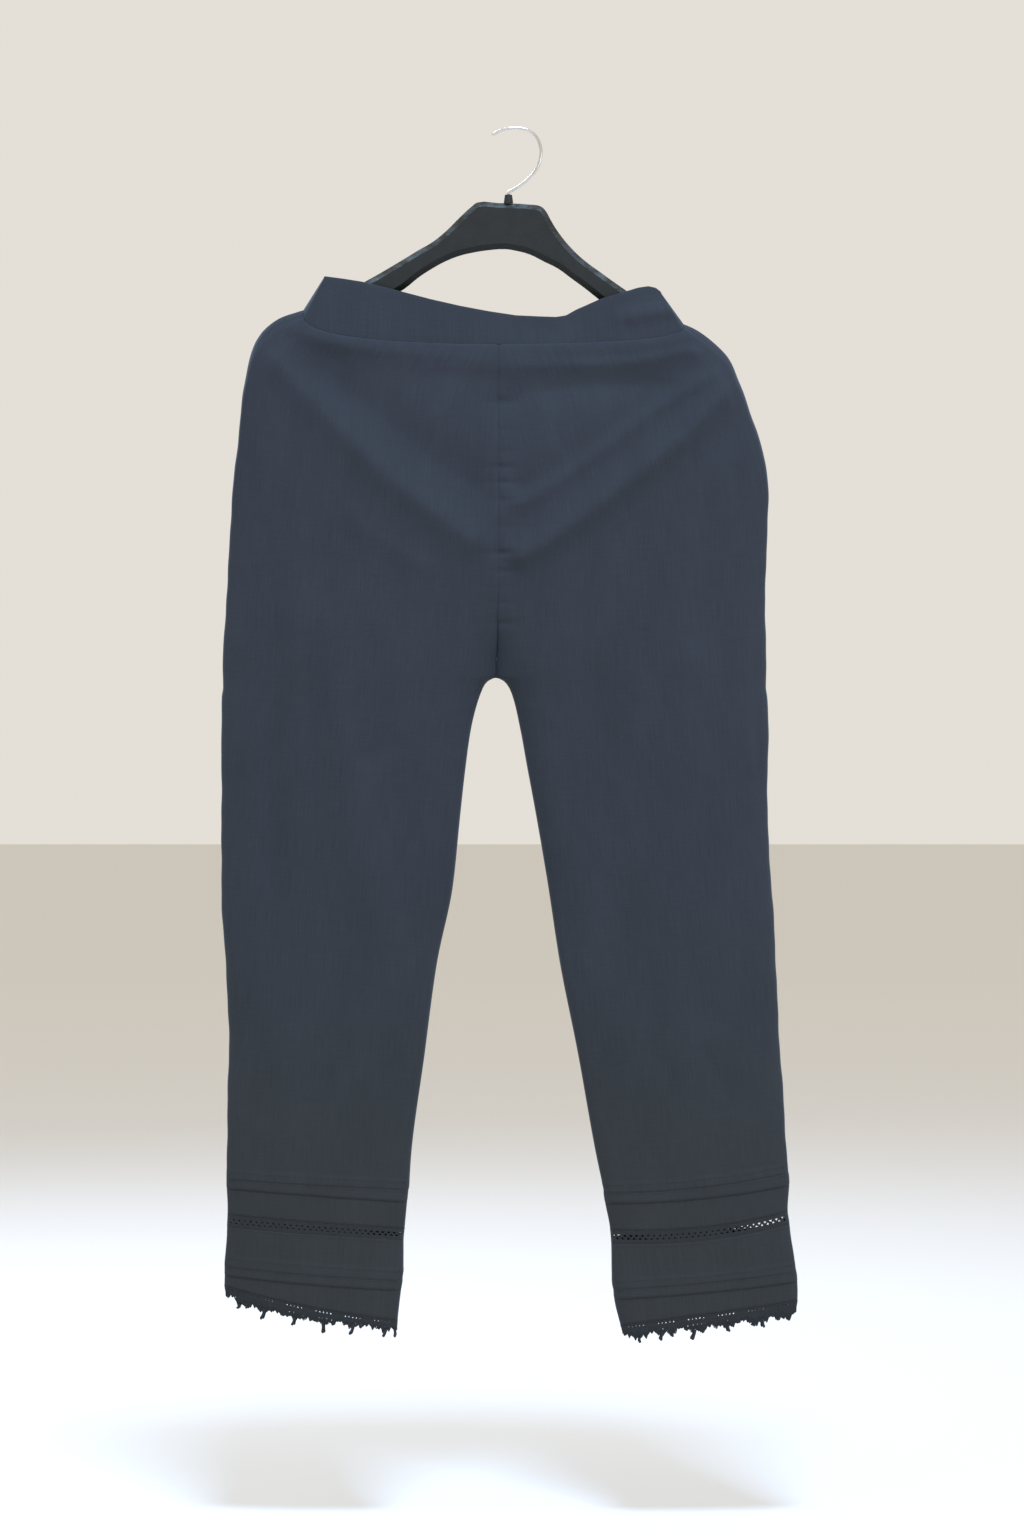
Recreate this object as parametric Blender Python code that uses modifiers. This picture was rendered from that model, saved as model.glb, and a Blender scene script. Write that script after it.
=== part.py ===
"""Navy pull-on trousers with tucked, lace-trimmed hems, hung by the waistband from a plastic hanger.

The origin is the inside of the hook's top, where it rests on a rail. X runs to the right as the front is seen,
the front faces -Y and +Z is up. The tables are in millimetres.
"""

import math
from collections import namedtuple

import bmesh
import bpy
from mathutils import Vector

MM = 0.001

# Walls, and the gap left between two pieces at a seam
CLOTH_WALL = 1.2
BAND_WALL = 2.0
LACE_WALL = 1.0
SEAM_GAP = 0.3
WAIST_SEAM_GAP = 0.7
SIDE_SEAM_GAP = 0.4

# Steepest run of a seam against its sheet that its gap is widened for, as a sine
LEAST_SLANT = 0.35

# Width of the flat strip beside the centre seam, as a share of the depth there
CENTRE_STRIP = 0.15

# A panel is one cut of cloth, and is made in three lengths: each part's name, first section and last section
PANEL_PARTS = (
    ("hip", "waist seam", "thigh top"),
    ("thigh", "thigh top", "calf"),
    ("shin", "calf", "inset top"),
)

# Steps across a panel, between the flat side strips
FRONT_STEPS = 14
BACK_STEPS = 10
HEM_STEPS = 10
BAND_ROWS = 3

Row = namedtuple(
    "Row",
    "left_out left_in right_in right_out depth side_flat drop leg_share sag_left sag_right",
)

# One row for each section of the trousers, from the waist seam to the foot of the lace. Each point is X and Z
# on the outline. depth is how far the section stands out at its middle, side_flat the half width of its side
# strip, drop how fast a row falls from the side, leg_share 0 for one tube round both hips and 1 for two legs,
# and sag how far the middle of a leg's row hangs below a straight line.
SECTIONS = {
    "waist seam": Row((-198, -169), (-16, -202), (-16, -202), (156, -182), 15, 7.5, 0.6, 0, 0, 0),
    "seam puff": Row((-206, -171.5), (-16, -209), (-16, -209), (161, -184), 19, 7.5, 0.6, 0, 0, 0),
    "below puff": Row((-219, -176), (-16, -221), (-16, -221), (169, -188), 17, 7.5, 0.6, 0, 0, 0),
    "shoulder": Row((-237, -190), (-16, -239), (-16, -239), (185, -200), 20, 7.5, 0.65, 0, 0, 0),
    "arm end": Row((-246, -206), (-16, -260), (-16, -260), (199, -215), 24, 7.5, 0.75, 0, 0, 0),
    "under arm": Row((-252, -230), (-16, -284), (-16, -284), (208, -235), 28, 7.5, 0.9, 0, 0, 0),
    "high hip": Row((-257, -263), (-16, -312), (-16, -312), (219, -265), 31, 7, 1, 0, 0, 0),
    "hip": Row((-260, -300), (-16, -341), (-16, -341), (230, -300), 33, 6, 1, 0, 0, 0),
    "low hip": Row((-264, -341), (-16, -373), (-16, -373), (235, -343), 34, 5, 1, 0, 0, 0),
    "seat": Row((-267, -384), (-16, -405), (-16, -405), (234, -386), 35, 4, 1, 0, 0, 0),
    "low seat": Row((-269, -418), (-16, -431), (-16, -431), (233, -419), 35, 4, 1, 0.03, 0, 0),
    "rise": Row((-271, -444), (-17, -451), (-17, -451), (233, -444), 35, 4, 1, 0.15, 0, 0),
    "low rise": Row((-272, -470), (-17, -473), (-17, -473), (233, -470), 35, 4, 1, 0.42, 0, 0),
    "fork top": Row((-273, -493), (-18, -494), (-18, -494), (233, -493), 34, 4, 1, 0.78, 0, 0),
    "fork": Row((-273, -514), (-19, -512), (-19, -512), (233, -514), 34, 4, 1, 1, 0, 0),
    "fork arch": Row((-273, -522), (-27, -516), (-11, -516), (233, -522), 33, 4, 1, 1, 0, 0),
    "thigh top": Row((-274, -531), (-32, -525), (-6, -525), (234, -531), 33, 4, 1, 1, 0, 0),
    "high thigh": Row((-274, -563), (-42, -559), (4, -559), (235, -563), 32, 4, 1, 1, 0, 0),
    "thigh": Row((-275, -593), (-47, -594), (10, -592), (235, -593), 31, 4, 1, 1, 0, 0),
    "low thigh": Row((-275, -635), (-52, -639), (18, -635), (235, -633), 30, 4, 1, 1, 0, 0),
    "knee": Row((-274.5, -700), (-59, -706), (29.5, -702), (237.5, -698), 28, 4, 1, 1, 0, 0),
    "calf": Row((-271, -773), (-74, -779), (41, -777), (242, -771), 26, 4, 1, 1, 0, 0),
    "low calf": Row((-268, -855), (-85.5, -864), (57.5, -860), (246, -849), 23.5, 4, 1, 1, 0, 0),
    "above tucks": Row((-269, -944), (-98, -958), (75, -957), (251, -938), 21.5, 4, 1, 1, 0, 2),
    "tuck 1 stitch": Row((-269.5, -971), (-99.5, -981), (80.5, -983), (253, -965.5), 20.6, 4, 1, 1, 0, 4),
    "tuck 1 fold": Row((-269.5, -978), (-100, -987.5), (82, -990.5), (253.5, -972), 22.2, 4, 1, 1, 0, 4),
    "tuck 2 stitch": Row((-269.5, -979.5), (-100.5, -989.5), (82, -992), (254, -974), 20.6, 4, 1, 1, 0, 4),
    "tuck 2 fold": Row((-269.5, -986), (-101.5, -998.5), (83, -999.5), (254.5, -983), 22.2, 4, 1, 1, 0, 4),
    "below tucks": Row((-269.5, -987.5), (-101.5, -1000), (83, -1001), (255, -984.5), 20.6, 4, 1, 1, 0, 4),
    "inset top": Row((-269.5, -1012), (-104, -1025), (88, -1026), (254, -1009), 20.2, 4, 1, 1, 0, 6),
    "inset middle": Row((-269.5, -1017.5), (-106, -1030), (87.5, -1032), (253, -1014.5), 20.2, 4, 1, 1, 0, 6),
    "inset foot": Row((-270, -1023), (-105, -1035), (89, -1038), (255.5, -1020), 20.2, 4, 1, 1, 0, 6),
    "above low tucks": Row((-271, -1052), (-105, -1064), (89.5, -1073), (260, -1057.5), 20, 4, 1, 1, 0, 2),
    "tuck 3 fold": Row((-271.5, -1059), (-106, -1072), (90.5, -1080.5), (261, -1064.5), 21.4, 4, 1, 1, 1, 1),
    "tuck 4 stitch": Row((-271.5, -1060.5), (-106, -1073.5), (91, -1082), (261.5, -1066), 20, 4, 1, 1, 1, 1),
    "tuck 4 fold": Row((-271.5, -1067), (-107, -1080.5), (91.5, -1089), (262, -1073), 21.4, 4, 1, 1, 1, 1),
    "under tuck 4": Row((-271.5, -1068.5), (-107, -1082), (92, -1090.5), (262.5, -1074.5), 20, 4, 1, 1, 1, 1),
    "hem edge": Row((-271.5, -1078), (-110.5, -1110.5), (97.5, -1115), (262.5, -1092), 20, 4, 1, 1, 3, 0),
    "lace foot": Row((-270.5, -1085), (-111, -1117.5), (99.5, -1122), (261.5, -1099.5), 20, 4, 1, 1, 3, 0),
}
ORDER = list(SECTIONS)

Fold = namedtuple("Fold", "start end height width")

# Ridges and troughs of the cloth: from X, Z to X, Z, height out of the cloth (below 0 for a trough), half width
FRONT_FOLDS = (
    Fold((-236, -206), (-22, -389), 7, 14),
    Fold((-246, -236), (-20, -416), -6, 15),
    Fold((-224, -209), (-22, -317), -4, 17),
    Fold((199, -248), (-9, -395), 7, 14),
    Fold((205, -254), (-10, -424), -6, 15),
    Fold((197, -235), (-7, -355), -4, 15),
    Fold((-217, -403), (-229, -589), -5, 16),
    Fold((-229, -589), (-236, -896), -5, 14),
    Fold((-168, -440), (-80, -803), 5, 26),
    Fold((89, -477), (112, -821), -5, 20),
    Fold((172, -560), (180, -900), 4, 22),
    Fold((171, -849), (208, -924), -3, 12),
)
BACK_FOLDS = (
    Fold((-238, -212), (-40, -360), 6, 16),
    Fold((-244, -240), (-30, -410), -5, 17),
    Fold((196, -240), (0, -370), 6, 16),
    Fold((204, -262), (-6, -420), -5, 17),
    Fold((-210, -430), (-222, -880), -4, 18),
    Fold((-140, -540), (-120, -880), 4, 24),
    Fold((180, -480), (196, -880), -4, 18),
    Fold((110, -560), (140, -900), 4, 24),
)

# Sections below the waist seam over which the folds grow, and the shares of a fold's length over which it fades
FOLD_EASE_ROWS = 3
FOLD_START_FADE = 0.12
FOLD_END_FADE = 0.25

Edge = namedtuple("Edge", "x z")

# Top edge of the waistband, from its left end to its right end
BAND_TOP = (
    Edge(-178.5, -138), Edge(-161, -140.5), Edge(-143, -143.5), Edge(-125.5, -148), Edge(-106, -153),
    Edge(-80, -160), Edge(-52, -166.5), Edge(-26, -171.5), Edge(0, -175.5), Edge(22, -176.5),
    Edge(37, -177), Edge(46.5, -175.5), Edge(56, -170), Edge(65, -166), Edge(78, -160),
    Edge(91, -156), Edge(104, -152), Edge(113.5, -149), Edge(123, -147.5), Edge(130, -149),
    Edge(135, -153),
)
BAND_TOP_DEPTH = 12.5
BAND_TOP_FLAT = 3

# Outline of the hanger, clockwise from the left of its top block
HANGER_OUTLINE = (
    Edge(-36, -68.5), Edge(-41, -72), Edge(-52, -82), Edge(-65, -95), Edge(-78, -105.5), Edge(-91, -113),
    Edge(-104, -121), Edge(-142, -143), Edge(-164, -154), Edge(-184, -163.5), Edge(-198, -170),
    Edge(-218.5, -179), Edge(-232.5, -191), Edge(-240.5, -202), Edge(-243, -210.5), Edge(-242, -216),
    Edge(-236, -217), Edge(-227, -214), Edge(-210, -204.5), Edge(-182, -191.5), Edge(-145, -173),
    Edge(-104, -149), Edge(-91, -138.5), Edge(-78, -130), Edge(-65, -123), Edge(-52, -118),
    Edge(-39, -115), Edge(-26, -113), Edge(-10, -112), Edge(0, -113.5), Edge(13, -117), Edge(26, -123.5),
    Edge(39, -130), Edge(52, -139.5), Edge(65, -149), Edge(97, -175), Edge(125, -195.5), Edge(152.5, -212),
    Edge(171, -222.5), Edge(185, -231), Edge(195, -236.5), Edge(200.5, -235), Edge(201.5, -228.5),
    Edge(198, -220.5), Edge(192, -213.5), Edge(185.5, -205), Edge(175, -195.5), Edge(161.5, -188.5),
    Edge(152.5, -183), Edge(137, -172.5), Edge(125, -165), Edge(104, -151.5), Edge(78, -133), Edge(65, -123.5),
    Edge(52, -111.5), Edge(39, -95.5), Edge(32, -84), Edge(27.5, -76), Edge(23, -72), Edge(14, -70.5),
    Edge(-17, -69),
)
HANGER_THICKNESS = 11
HANGER_ROUNDING = 2.2
HANGER_ROUNDING_STEPS = 2
HANGER_SHARP_ANGLE = 60

# Run of the hook's wire, from the collar round to its tip
HOOK_RUN = (
    Edge(-7, -61), Edge(-7, -59.5), Edge(-3.5, -57), Edge(4, -52.5), Edge(13, -45), Edge(20, -35.5),
    Edge(23, -26), Edge(23, -17), Edge(19.5, -8), Edge(13, -2), Edge(5, 1), Edge(0, 1.5),
    Edge(-6, 1), Edge(-12, -0.5), Edge(-17.5, -3), Edge(-22, -5.5),
)
HOOK_WIRE = 3
HOOK_STEPS = 3
HOOK_ROUNDNESS = 2
COLLAR_RADIUS = 4.5
COLLAR_TAPER = 0.75
COLLAR_FOOT = -68.95
COLLAR_TOP = -61.4
COLLAR_SIDES = 20

# The crochet edging: one scallop between two arches, with a long picot in its middle and a short one each side
SCALLOPS = 6
SCALLOP_STEPS = 8
SCALLOP_DROP = (1, 3.5, 7, 7, 6, 7, 7, 3.5)
PICOT_STEP = 4
PICOT_LENGTHS = (9, 6.5, 8, 10, 7, 8.5)
PICOT_CURL = (2.5, -2, 3, -3, 2, -2.5)
PICOT_TAPER = 0.7
PICOT_PARTS = (0.5, 1.0)

Finish = namedtuple("Finish", "colour metallic roughness")
FINISHES = {
    "navy cloth": Finish((0.030, 0.040, 0.062), 0.0, 0.85),
    "navy lace": Finish((0.034, 0.042, 0.058), 0.0, 0.8),
    "black plastic": Finish((0.022, 0.025, 0.026), 0.0, 0.38),
    "bright steel": Finish((0.72, 0.70, 0.67), 1.0, 0.22),
}

LEFT, RIGHT = "left", "right"
FRONT, BACK = -1, 1


def clear_scene():
    for item in list(bpy.data.objects):
        bpy.data.objects.remove(item, do_unlink=True)


def make_material(name):
    finish = FINISHES[name]
    material = bpy.data.materials.new(name)
    material.use_nodes = True
    shader = material.node_tree.nodes["Principled BSDF"]
    shader.inputs["Base Color"].default_value = (*finish.colour, 1)
    shader.inputs["Metallic"].default_value = finish.metallic
    shader.inputs["Roughness"].default_value = finish.roughness
    return material


def blend(a, b, share):
    return a + (b - a) * share


def height_on(edge, x):
    """Z of a table of edge points at X, by straight lines between them."""
    for here, after in zip(edge, edge[1:]):
        if x <= after.x:
            return blend(here.z, after.z, (x - here.x) / (after.x - here.x))
    return edge[-1].z


def fold_height(folds, x, z):
    total = 0
    for fold in folds:
        along_x = fold.end[0] - fold.start[0]
        along_z = fold.end[1] - fold.start[1]
        length = math.hypot(along_x, along_z)
        reach = ((x - fold.start[0]) * along_x + (z - fold.start[1]) * along_z) / length**2
        away = abs((x - fold.start[0]) * along_z - (z - fold.start[1]) * along_x) / length
        inside = max(0, min(1, reach))
        fade = min(1, inside / FOLD_START_FADE) * min(1, (1 - inside) / FOLD_END_FADE)
        total += fold.height * fade * math.exp(-((away / fold.width) ** 2))
    return total


def hip_point(row, side, share):
    """A point of the tube round both hips: share 0 at the side seam, 1 at the centre seam."""
    middle = (row.left_out[0] + row.right_out[0]) / 2
    half = (row.right_out[0] - row.left_out[0]) / 2
    centre = row.left_in if side == LEFT else row.right_in
    outer = row.left_out if side == LEFT else row.right_out
    sign = 1 if side == LEFT else -1
    turn = share * math.acos(sign * (middle - centre[0]) / half)
    x = middle - sign * half * math.cos(turn)
    z = blend(outer[1], centre[1], max(0, math.sin(turn)) ** row.drop)
    depth = row.side_flat + (row.depth - row.side_flat) * math.sin(turn)
    return x, depth, z


def leg_point(row, side, share):
    """A point of one leg's tube: share 0 at the side seam, 1 at the inside seam."""
    outer = row.left_out if side == LEFT else row.right_out
    inner = row.left_in if side == LEFT else row.right_in
    sag = row.sag_left if side == LEFT else row.sag_right
    turn = share * math.pi
    across = (1 - math.cos(turn)) / 2
    x = blend(outer[0], inner[0], across)
    z = blend(outer[1], inner[1], across) - 4 * sag * across * (1 - across)
    depth = row.side_flat + (row.depth - row.side_flat) * math.sin(turn)
    return x, depth, z


def section_points(row, side, face, folds, fold_share, steps):
    """One row of a panel, from the side seam to the centre or inside seam."""
    w = row.leg_share
    sign = 1 if side == LEFT else -1
    rim = SIDE_SEAM_GAP / 2
    points = []
    for k in range(steps + 1):
        share = k / steps
        hip = hip_point(row, side, share)
        leg = leg_point(row, side, share)
        x, depth, z = (blend(a, b, w) for a, b in zip(hip, leg))
        swell = blend(math.sin(share * math.pi / 2), math.sin(share * math.pi), w)
        depth += swell * fold_share * fold_height(folds, x, z)
        points.append((x, depth, z))
    side_x, _, side_z = points[0]
    points.insert(0, (side_x, rim, side_z))
    seam_x, seam_depth, seam_z = points[-1]
    lean = w / math.hypot(w, CENTRE_STRIP * (1 - w))
    gap = sign * (SEAM_GAP / 2 + lean * CLOTH_WALL / 2) if row.left_in == row.right_in else 0
    step_in = sign * (1 - w) * seam_depth * CENTRE_STRIP
    points[-1] = (seam_x - step_in - gap, seam_depth, seam_z)
    points.append((seam_x - gap, blend(seam_depth, rim, w), seam_z))
    return [(x, face * depth, z) for x, depth, z in points]


def grid_mesh(name, rows):
    """An open sheet with one quad between each four neighbouring points."""
    count = len(rows[0])
    mesh = bpy.data.meshes.new(name)
    sheet = bmesh.new()
    points = [[sheet.verts.new([MM * value for value in point]) for point in row] for row in rows]
    for above, below in zip(points, points[1:]):
        for k in range(count - 1):
            sheet.faces.new((above[k], above[k + 1], below[k + 1], below[k]))
    sheet.to_mesh(mesh)
    sheet.free()
    return mesh


def add_piece(name, mesh, material, collection, wall=None):
    piece = bpy.data.objects.new(name, mesh)
    collection.objects.link(piece)
    mesh.materials.append(material)
    for polygon in mesh.polygons:
        polygon.use_smooth = True
    if wall:
        thicken = piece.modifiers.new("wall", "SOLIDIFY")
        thicken.thickness = wall * MM
        thicken.offset = 0
        thicken.use_rim = True
    return piece


def eased_from_seam(rows, gap):
    """Moves the first row down its sheet by the gap, and by more where the row runs steeply."""
    moved = []
    last = len(rows[0]) - 1
    for k, (point, below) in enumerate(zip(rows[0], rows[1])):
        ahead, behind = rows[0][min(k + 1, last)], rows[0][max(k - 1, 0)]
        down = Vector(below) - Vector(point)
        along = Vector(ahead) - Vector(behind)
        slant = max(LEAST_SLANT, math.sin(down.angle(along)))
        moved.append(tuple(Vector(point) + down.normalized() * gap / slant))
    return [moved] + rows[1:]


def cloth_piece(name, side, face, first, last, steps, material, wall, collection):
    """A sheet of cloth between two named sections, both included."""
    folds = FRONT_FOLDS if face == FRONT else BACK_FOLDS
    start, end = ORDER.index(first), ORDER.index(last)
    rows = []
    for place in range(start, end + 1):
        fold_share = min(1, place / FOLD_EASE_ROWS)
        rows.append(section_points(SECTIONS[ORDER[place]], side, face, folds, fold_share, steps))
    rows = eased_from_seam(rows, SEAM_GAP if start else WAIST_SEAM_GAP)
    return add_piece(name, grid_mesh(name, rows), material, collection, wall)


def band_rows(face, steps):
    """The waistband's half: its top edge and the waist seam, with straight lines between."""
    seam = SECTIONS["waist seam"]
    foot = [hip_point(seam, LEFT, k / steps) for k in range(steps + 1)]
    foot += [hip_point(seam, RIGHT, k / steps) for k in reversed(range(steps))]
    left, right = foot[0][0], foot[-1][0]
    top = []
    for x, _, _ in foot:
        turn = math.acos(max(-1, min(1, (left + right - 2 * x) / (right - left))))
        top_x = blend(BAND_TOP[0].x, BAND_TOP[-1].x, (x - left) / (right - left))
        depth = BAND_TOP_FLAT + (BAND_TOP_DEPTH - BAND_TOP_FLAT) * math.sin(turn)
        top.append((top_x, depth, height_on(BAND_TOP, top_x)))
    rows = []
    for level in range(BAND_ROWS + 1):
        share = level / BAND_ROWS
        row = [tuple(blend(a, b, share) for a, b in zip(*pair)) for pair in zip(top, foot)]
        row.insert(0, (row[0][0], SIDE_SEAM_GAP / 2, row[0][2]))
        row.append((row[-1][0], SIDE_SEAM_GAP / 2, row[-1][2]))
        rows.append([(x, face * depth, z) for x, depth, z in row])
    return rows


def lace_piece(name, side, face, material, collection):
    """The crochet edging: a strip under the hem with a scalloped foot and picots hanging from it."""
    steps = SCALLOPS * SCALLOP_STEPS
    rim = SIDE_SEAM_GAP / 2
    rows = []
    for section, gap in (("hem edge", SEAM_GAP), ("lace foot", 0)):
        row = SECTIONS[section]
        line = []
        for k in range(steps + 1):
            share = math.acos(1 - 2 * k / steps) / math.pi
            x, depth, z = leg_point(row, side, share)
            line.append((x, face * depth, z - gap))
        line.insert(0, (line[0][0], face * rim, line[0][2]))
        line.append((line[-1][0], face * rim, line[-1][2]))
        rows.append(line)
    strip_foot = rows[-1]
    drops = [SCALLOP_DROP[0]] + [SCALLOP_DROP[k % SCALLOP_STEPS] for k in range(steps)]
    drops += [SCALLOP_DROP[0]] * 2
    rows.append([(x, y, z - drop) for (x, y, z), drop in zip(strip_foot, drops)])
    mesh = grid_mesh(name, rows)
    add_picots(mesh, len(strip_foot), len(rows) - 1)
    return add_piece(name, mesh, material, collection, LACE_WALL)


def add_picots(mesh, columns, last_row):
    """Hangs a tapering picot, one step wide, from each scallop's foot."""
    sheet = bmesh.new()
    sheet.from_mesh(mesh)
    sheet.verts.ensure_lookup_table()
    foot_points = sheet.verts[last_row * columns:]
    for scallop in range(SCALLOPS):
        start = 1 + scallop * SCALLOP_STEPS + PICOT_STEP
        pair = (foot_points[start], foot_points[start + 1])
        middle = (pair[0].co + pair[1].co) / 2
        half = (pair[1].co - pair[0].co) / 2
        length = PICOT_LENGTHS[scallop] * MM
        curl = PICOT_CURL[scallop] * MM
        upper = pair
        for part in PICOT_PARTS:
            width = half * (1 - (1 - PICOT_TAPER) * part)
            foot = middle.copy()
            foot.x += curl * part**2
            foot.z -= length * part
            lower = (sheet.verts.new(foot - width), sheet.verts.new(foot + width))
            sheet.faces.new((upper[0], upper[1], lower[1], lower[0]))
            upper = lower
    sheet.to_mesh(mesh)
    sheet.free()


def hanger_body(material, collection):
    """The flat outline made solid, with its long edges rounded."""
    mesh = bpy.data.meshes.new("hanger_body")
    plate = bmesh.new()
    corners = [plate.verts.new((MM * point.x, 0, MM * point.z)) for point in HANGER_OUTLINE]
    plate.faces.new(corners)
    plate.to_mesh(mesh)
    plate.free()
    body = add_piece("hanger_body", mesh, material, collection, HANGER_THICKNESS)
    rounding = body.modifiers.new("rounding", "BEVEL")
    rounding.width = HANGER_ROUNDING * MM
    rounding.segments = HANGER_ROUNDING_STEPS
    rounding.limit_method = "ANGLE"
    rounding.angle_limit = math.radians(HANGER_SHARP_ANGLE)
    return body


def hanger_hook(material, collection):
    run = bpy.data.curves.new("hanger_hook", "CURVE")
    run.dimensions = "3D"
    run.bevel_depth = HOOK_WIRE / 2 * MM
    run.bevel_resolution = HOOK_ROUNDNESS
    run.use_fill_caps = True
    run.resolution_u = HOOK_STEPS
    spline = run.splines.new("BEZIER")
    spline.bezier_points.add(len(HOOK_RUN) - 1)
    for point, place in zip(spline.bezier_points, HOOK_RUN):
        point.co = (MM * place.x, 0, MM * place.z)
        point.handle_left_type = "AUTO"
        point.handle_right_type = "AUTO"
    run.materials.append(material)
    hook = bpy.data.objects.new("hanger_hook", run)
    collection.objects.link(hook)
    return hook


def hanger_collar(material, collection):
    mesh = bpy.data.meshes.new("hanger_collar")
    ring = bmesh.new()
    bmesh.ops.create_cone(
        ring, cap_ends=True, segments=COLLAR_SIDES, radius1=COLLAR_RADIUS * MM,
        radius2=COLLAR_RADIUS * COLLAR_TAPER * MM, depth=(COLLAR_TOP - COLLAR_FOOT) * MM,
    )
    ring.to_mesh(mesh)
    ring.free()
    mesh.materials.append(material)
    collar = bpy.data.objects.new("hanger_collar", mesh)
    collar.location = (HOOK_RUN[0].x * MM, 0, (COLLAR_TOP + COLLAR_FOOT) / 2 * MM)
    collection.objects.link(collar)
    return collar


def build():
    clear_scene()
    collection = bpy.data.collections.new("trousers on a hanger")
    bpy.context.scene.collection.children.link(collection)
    cloth = make_material("navy cloth")
    lace = make_material("navy lace")
    plastic = make_material("black plastic")
    steel = make_material("bright steel")
    for face, face_name in ((FRONT, "front"), (BACK, "back")):
        steps = FRONT_STEPS if face == FRONT else BACK_STEPS
        name = f"waistband_{face_name}"
        add_piece(name, grid_mesh(name, band_rows(face, steps)), cloth, collection, BAND_WALL)
        for side in (LEFT, RIGHT):
            tag = f"{face_name}_{side}"
            for kind, first, last in PANEL_PARTS:
                cloth_piece(f"{kind}_{tag}", side, face, first, last, steps, cloth, CLOTH_WALL, collection)
            for kind, first, last, material, wall in (
                ("lace_inset", "inset top", "inset foot", lace, LACE_WALL),
                ("hem_band", "inset foot", "hem edge", cloth, CLOTH_WALL),
            ):
                cloth_piece(f"{kind}_{tag}", side, face, first, last, HEM_STEPS, material, wall, collection)
            lace_piece(f"lace_edging_{tag}", side, face, lace, collection)
    hanger_body(plastic, collection)
    hanger_collar(plastic, collection)
    hanger_hook(steel, collection)


build()
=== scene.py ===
# %% [markdown]
# Navy cotton trousers with crochet lace hems, hung by the waistband from a black plastic hanger.
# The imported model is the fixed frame. Each piece of cloth, lace and plastic is modelled finely here and takes
# the place of its plain solid. Lengths in the tables are millimetres, as in a pattern maker's notes.

# %% Load the frame
import math
from collections import namedtuple

import bmesh
import bpy
import numpy as np
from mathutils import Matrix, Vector


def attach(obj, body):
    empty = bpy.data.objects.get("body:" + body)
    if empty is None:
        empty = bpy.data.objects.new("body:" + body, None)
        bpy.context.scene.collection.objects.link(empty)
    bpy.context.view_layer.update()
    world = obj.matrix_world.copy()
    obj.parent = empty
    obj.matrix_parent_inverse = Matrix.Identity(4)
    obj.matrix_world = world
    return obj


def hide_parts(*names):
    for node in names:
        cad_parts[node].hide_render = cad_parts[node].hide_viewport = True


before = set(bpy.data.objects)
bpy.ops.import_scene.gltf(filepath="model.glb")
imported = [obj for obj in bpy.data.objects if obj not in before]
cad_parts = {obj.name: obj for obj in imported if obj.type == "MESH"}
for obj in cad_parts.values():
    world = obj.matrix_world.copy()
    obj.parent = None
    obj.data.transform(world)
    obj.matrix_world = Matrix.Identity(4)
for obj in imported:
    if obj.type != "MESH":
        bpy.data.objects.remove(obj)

MM = 0.001
LEFT, RIGHT = "left", "right"
FRONT, BACK = -1, 1
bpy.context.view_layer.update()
print("solids in the frame:", len(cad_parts))

# %% [markdown]
# The camera stands level with the knees, straight in front. The lens follows from the height that the picture
# has to take in and from how far the camera stands, so that the two are easy to change. A pale floor and a
# plain world stand for a bright room. The main light is high and in front, so that the upper side of each
# fold is lit. A weak one at the side and one behind keep the edges and the back from going black.

# %% Camera, floor and light
VIEW_DISTANCE = 4.5
VIEW_HEIGHT = 1.4285
VIEW_X = -0.0037
VIEW_Z = -0.596
FACE_DEPTH = 0.014
SENSOR = 36
FLOOR_Z = -1.3
FLOOR_REACH = 40
FLOOR_COLOUR, FLOOR_ROUGHNESS = (0.76, 0.735, 0.69), 0.9
ROOM_COLOUR, ROOM_STRENGTH = (1.0, 0.95, 0.87, 1), 0.78
LIGHT_AIM = Vector((0, 0, -0.5))
Light = namedtuple("Light", "name place size power colour")
LIGHTS = (
    Light("window", (0.25, -2.2, 3.0), 0.9, 144, (0.62, 0.9, 1.4)),
    Light("side_light", (2.3, -1.9, -0.3), 0.9, 11, (0.75, 0.95, 1.25)),
    Light("back_light", (-1.0, 2.4, 1.6), 1.2, 62, (0.75, 0.93, 1.22)),
)

scene = bpy.context.scene
scene.view_settings.view_transform = "Standard"
camera_data = bpy.data.cameras.new("camera")
camera_data.sensor_width = SENSOR
camera_data.lens = SENSOR * (VIEW_DISTANCE - FACE_DEPTH) / VIEW_HEIGHT
camera = bpy.data.objects.new("camera", camera_data)
camera.location = (VIEW_X, -VIEW_DISTANCE, VIEW_Z)
camera.rotation_euler = (math.pi / 2, 0, 0)
scene.collection.objects.link(camera)
scene.camera = camera


def new_material(name):
    """A material, its node tree and its shader."""
    material = bpy.data.materials.new(name)
    material.use_nodes = True
    return material, material.node_tree, material.node_tree.nodes["Principled BSDF"]


def add_floor():
    material, _, shader = new_material("pale_floor")
    shader.inputs["Base Color"].default_value = (*FLOOR_COLOUR, 1)
    shader.inputs["Roughness"].default_value = FLOOR_ROUGHNESS
    mesh = bpy.data.meshes.new("floor")
    plane = bmesh.new()
    bmesh.ops.create_grid(plane, x_segments=1, y_segments=1, size=FLOOR_REACH)
    bmesh.ops.translate(plane, verts=plane.verts, vec=(0, 0, FLOOR_Z))
    plane.to_mesh(mesh)
    plane.free()
    mesh.materials.append(material)
    floor = bpy.data.objects.new("floor", mesh)
    scene.collection.objects.link(floor)


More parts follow.
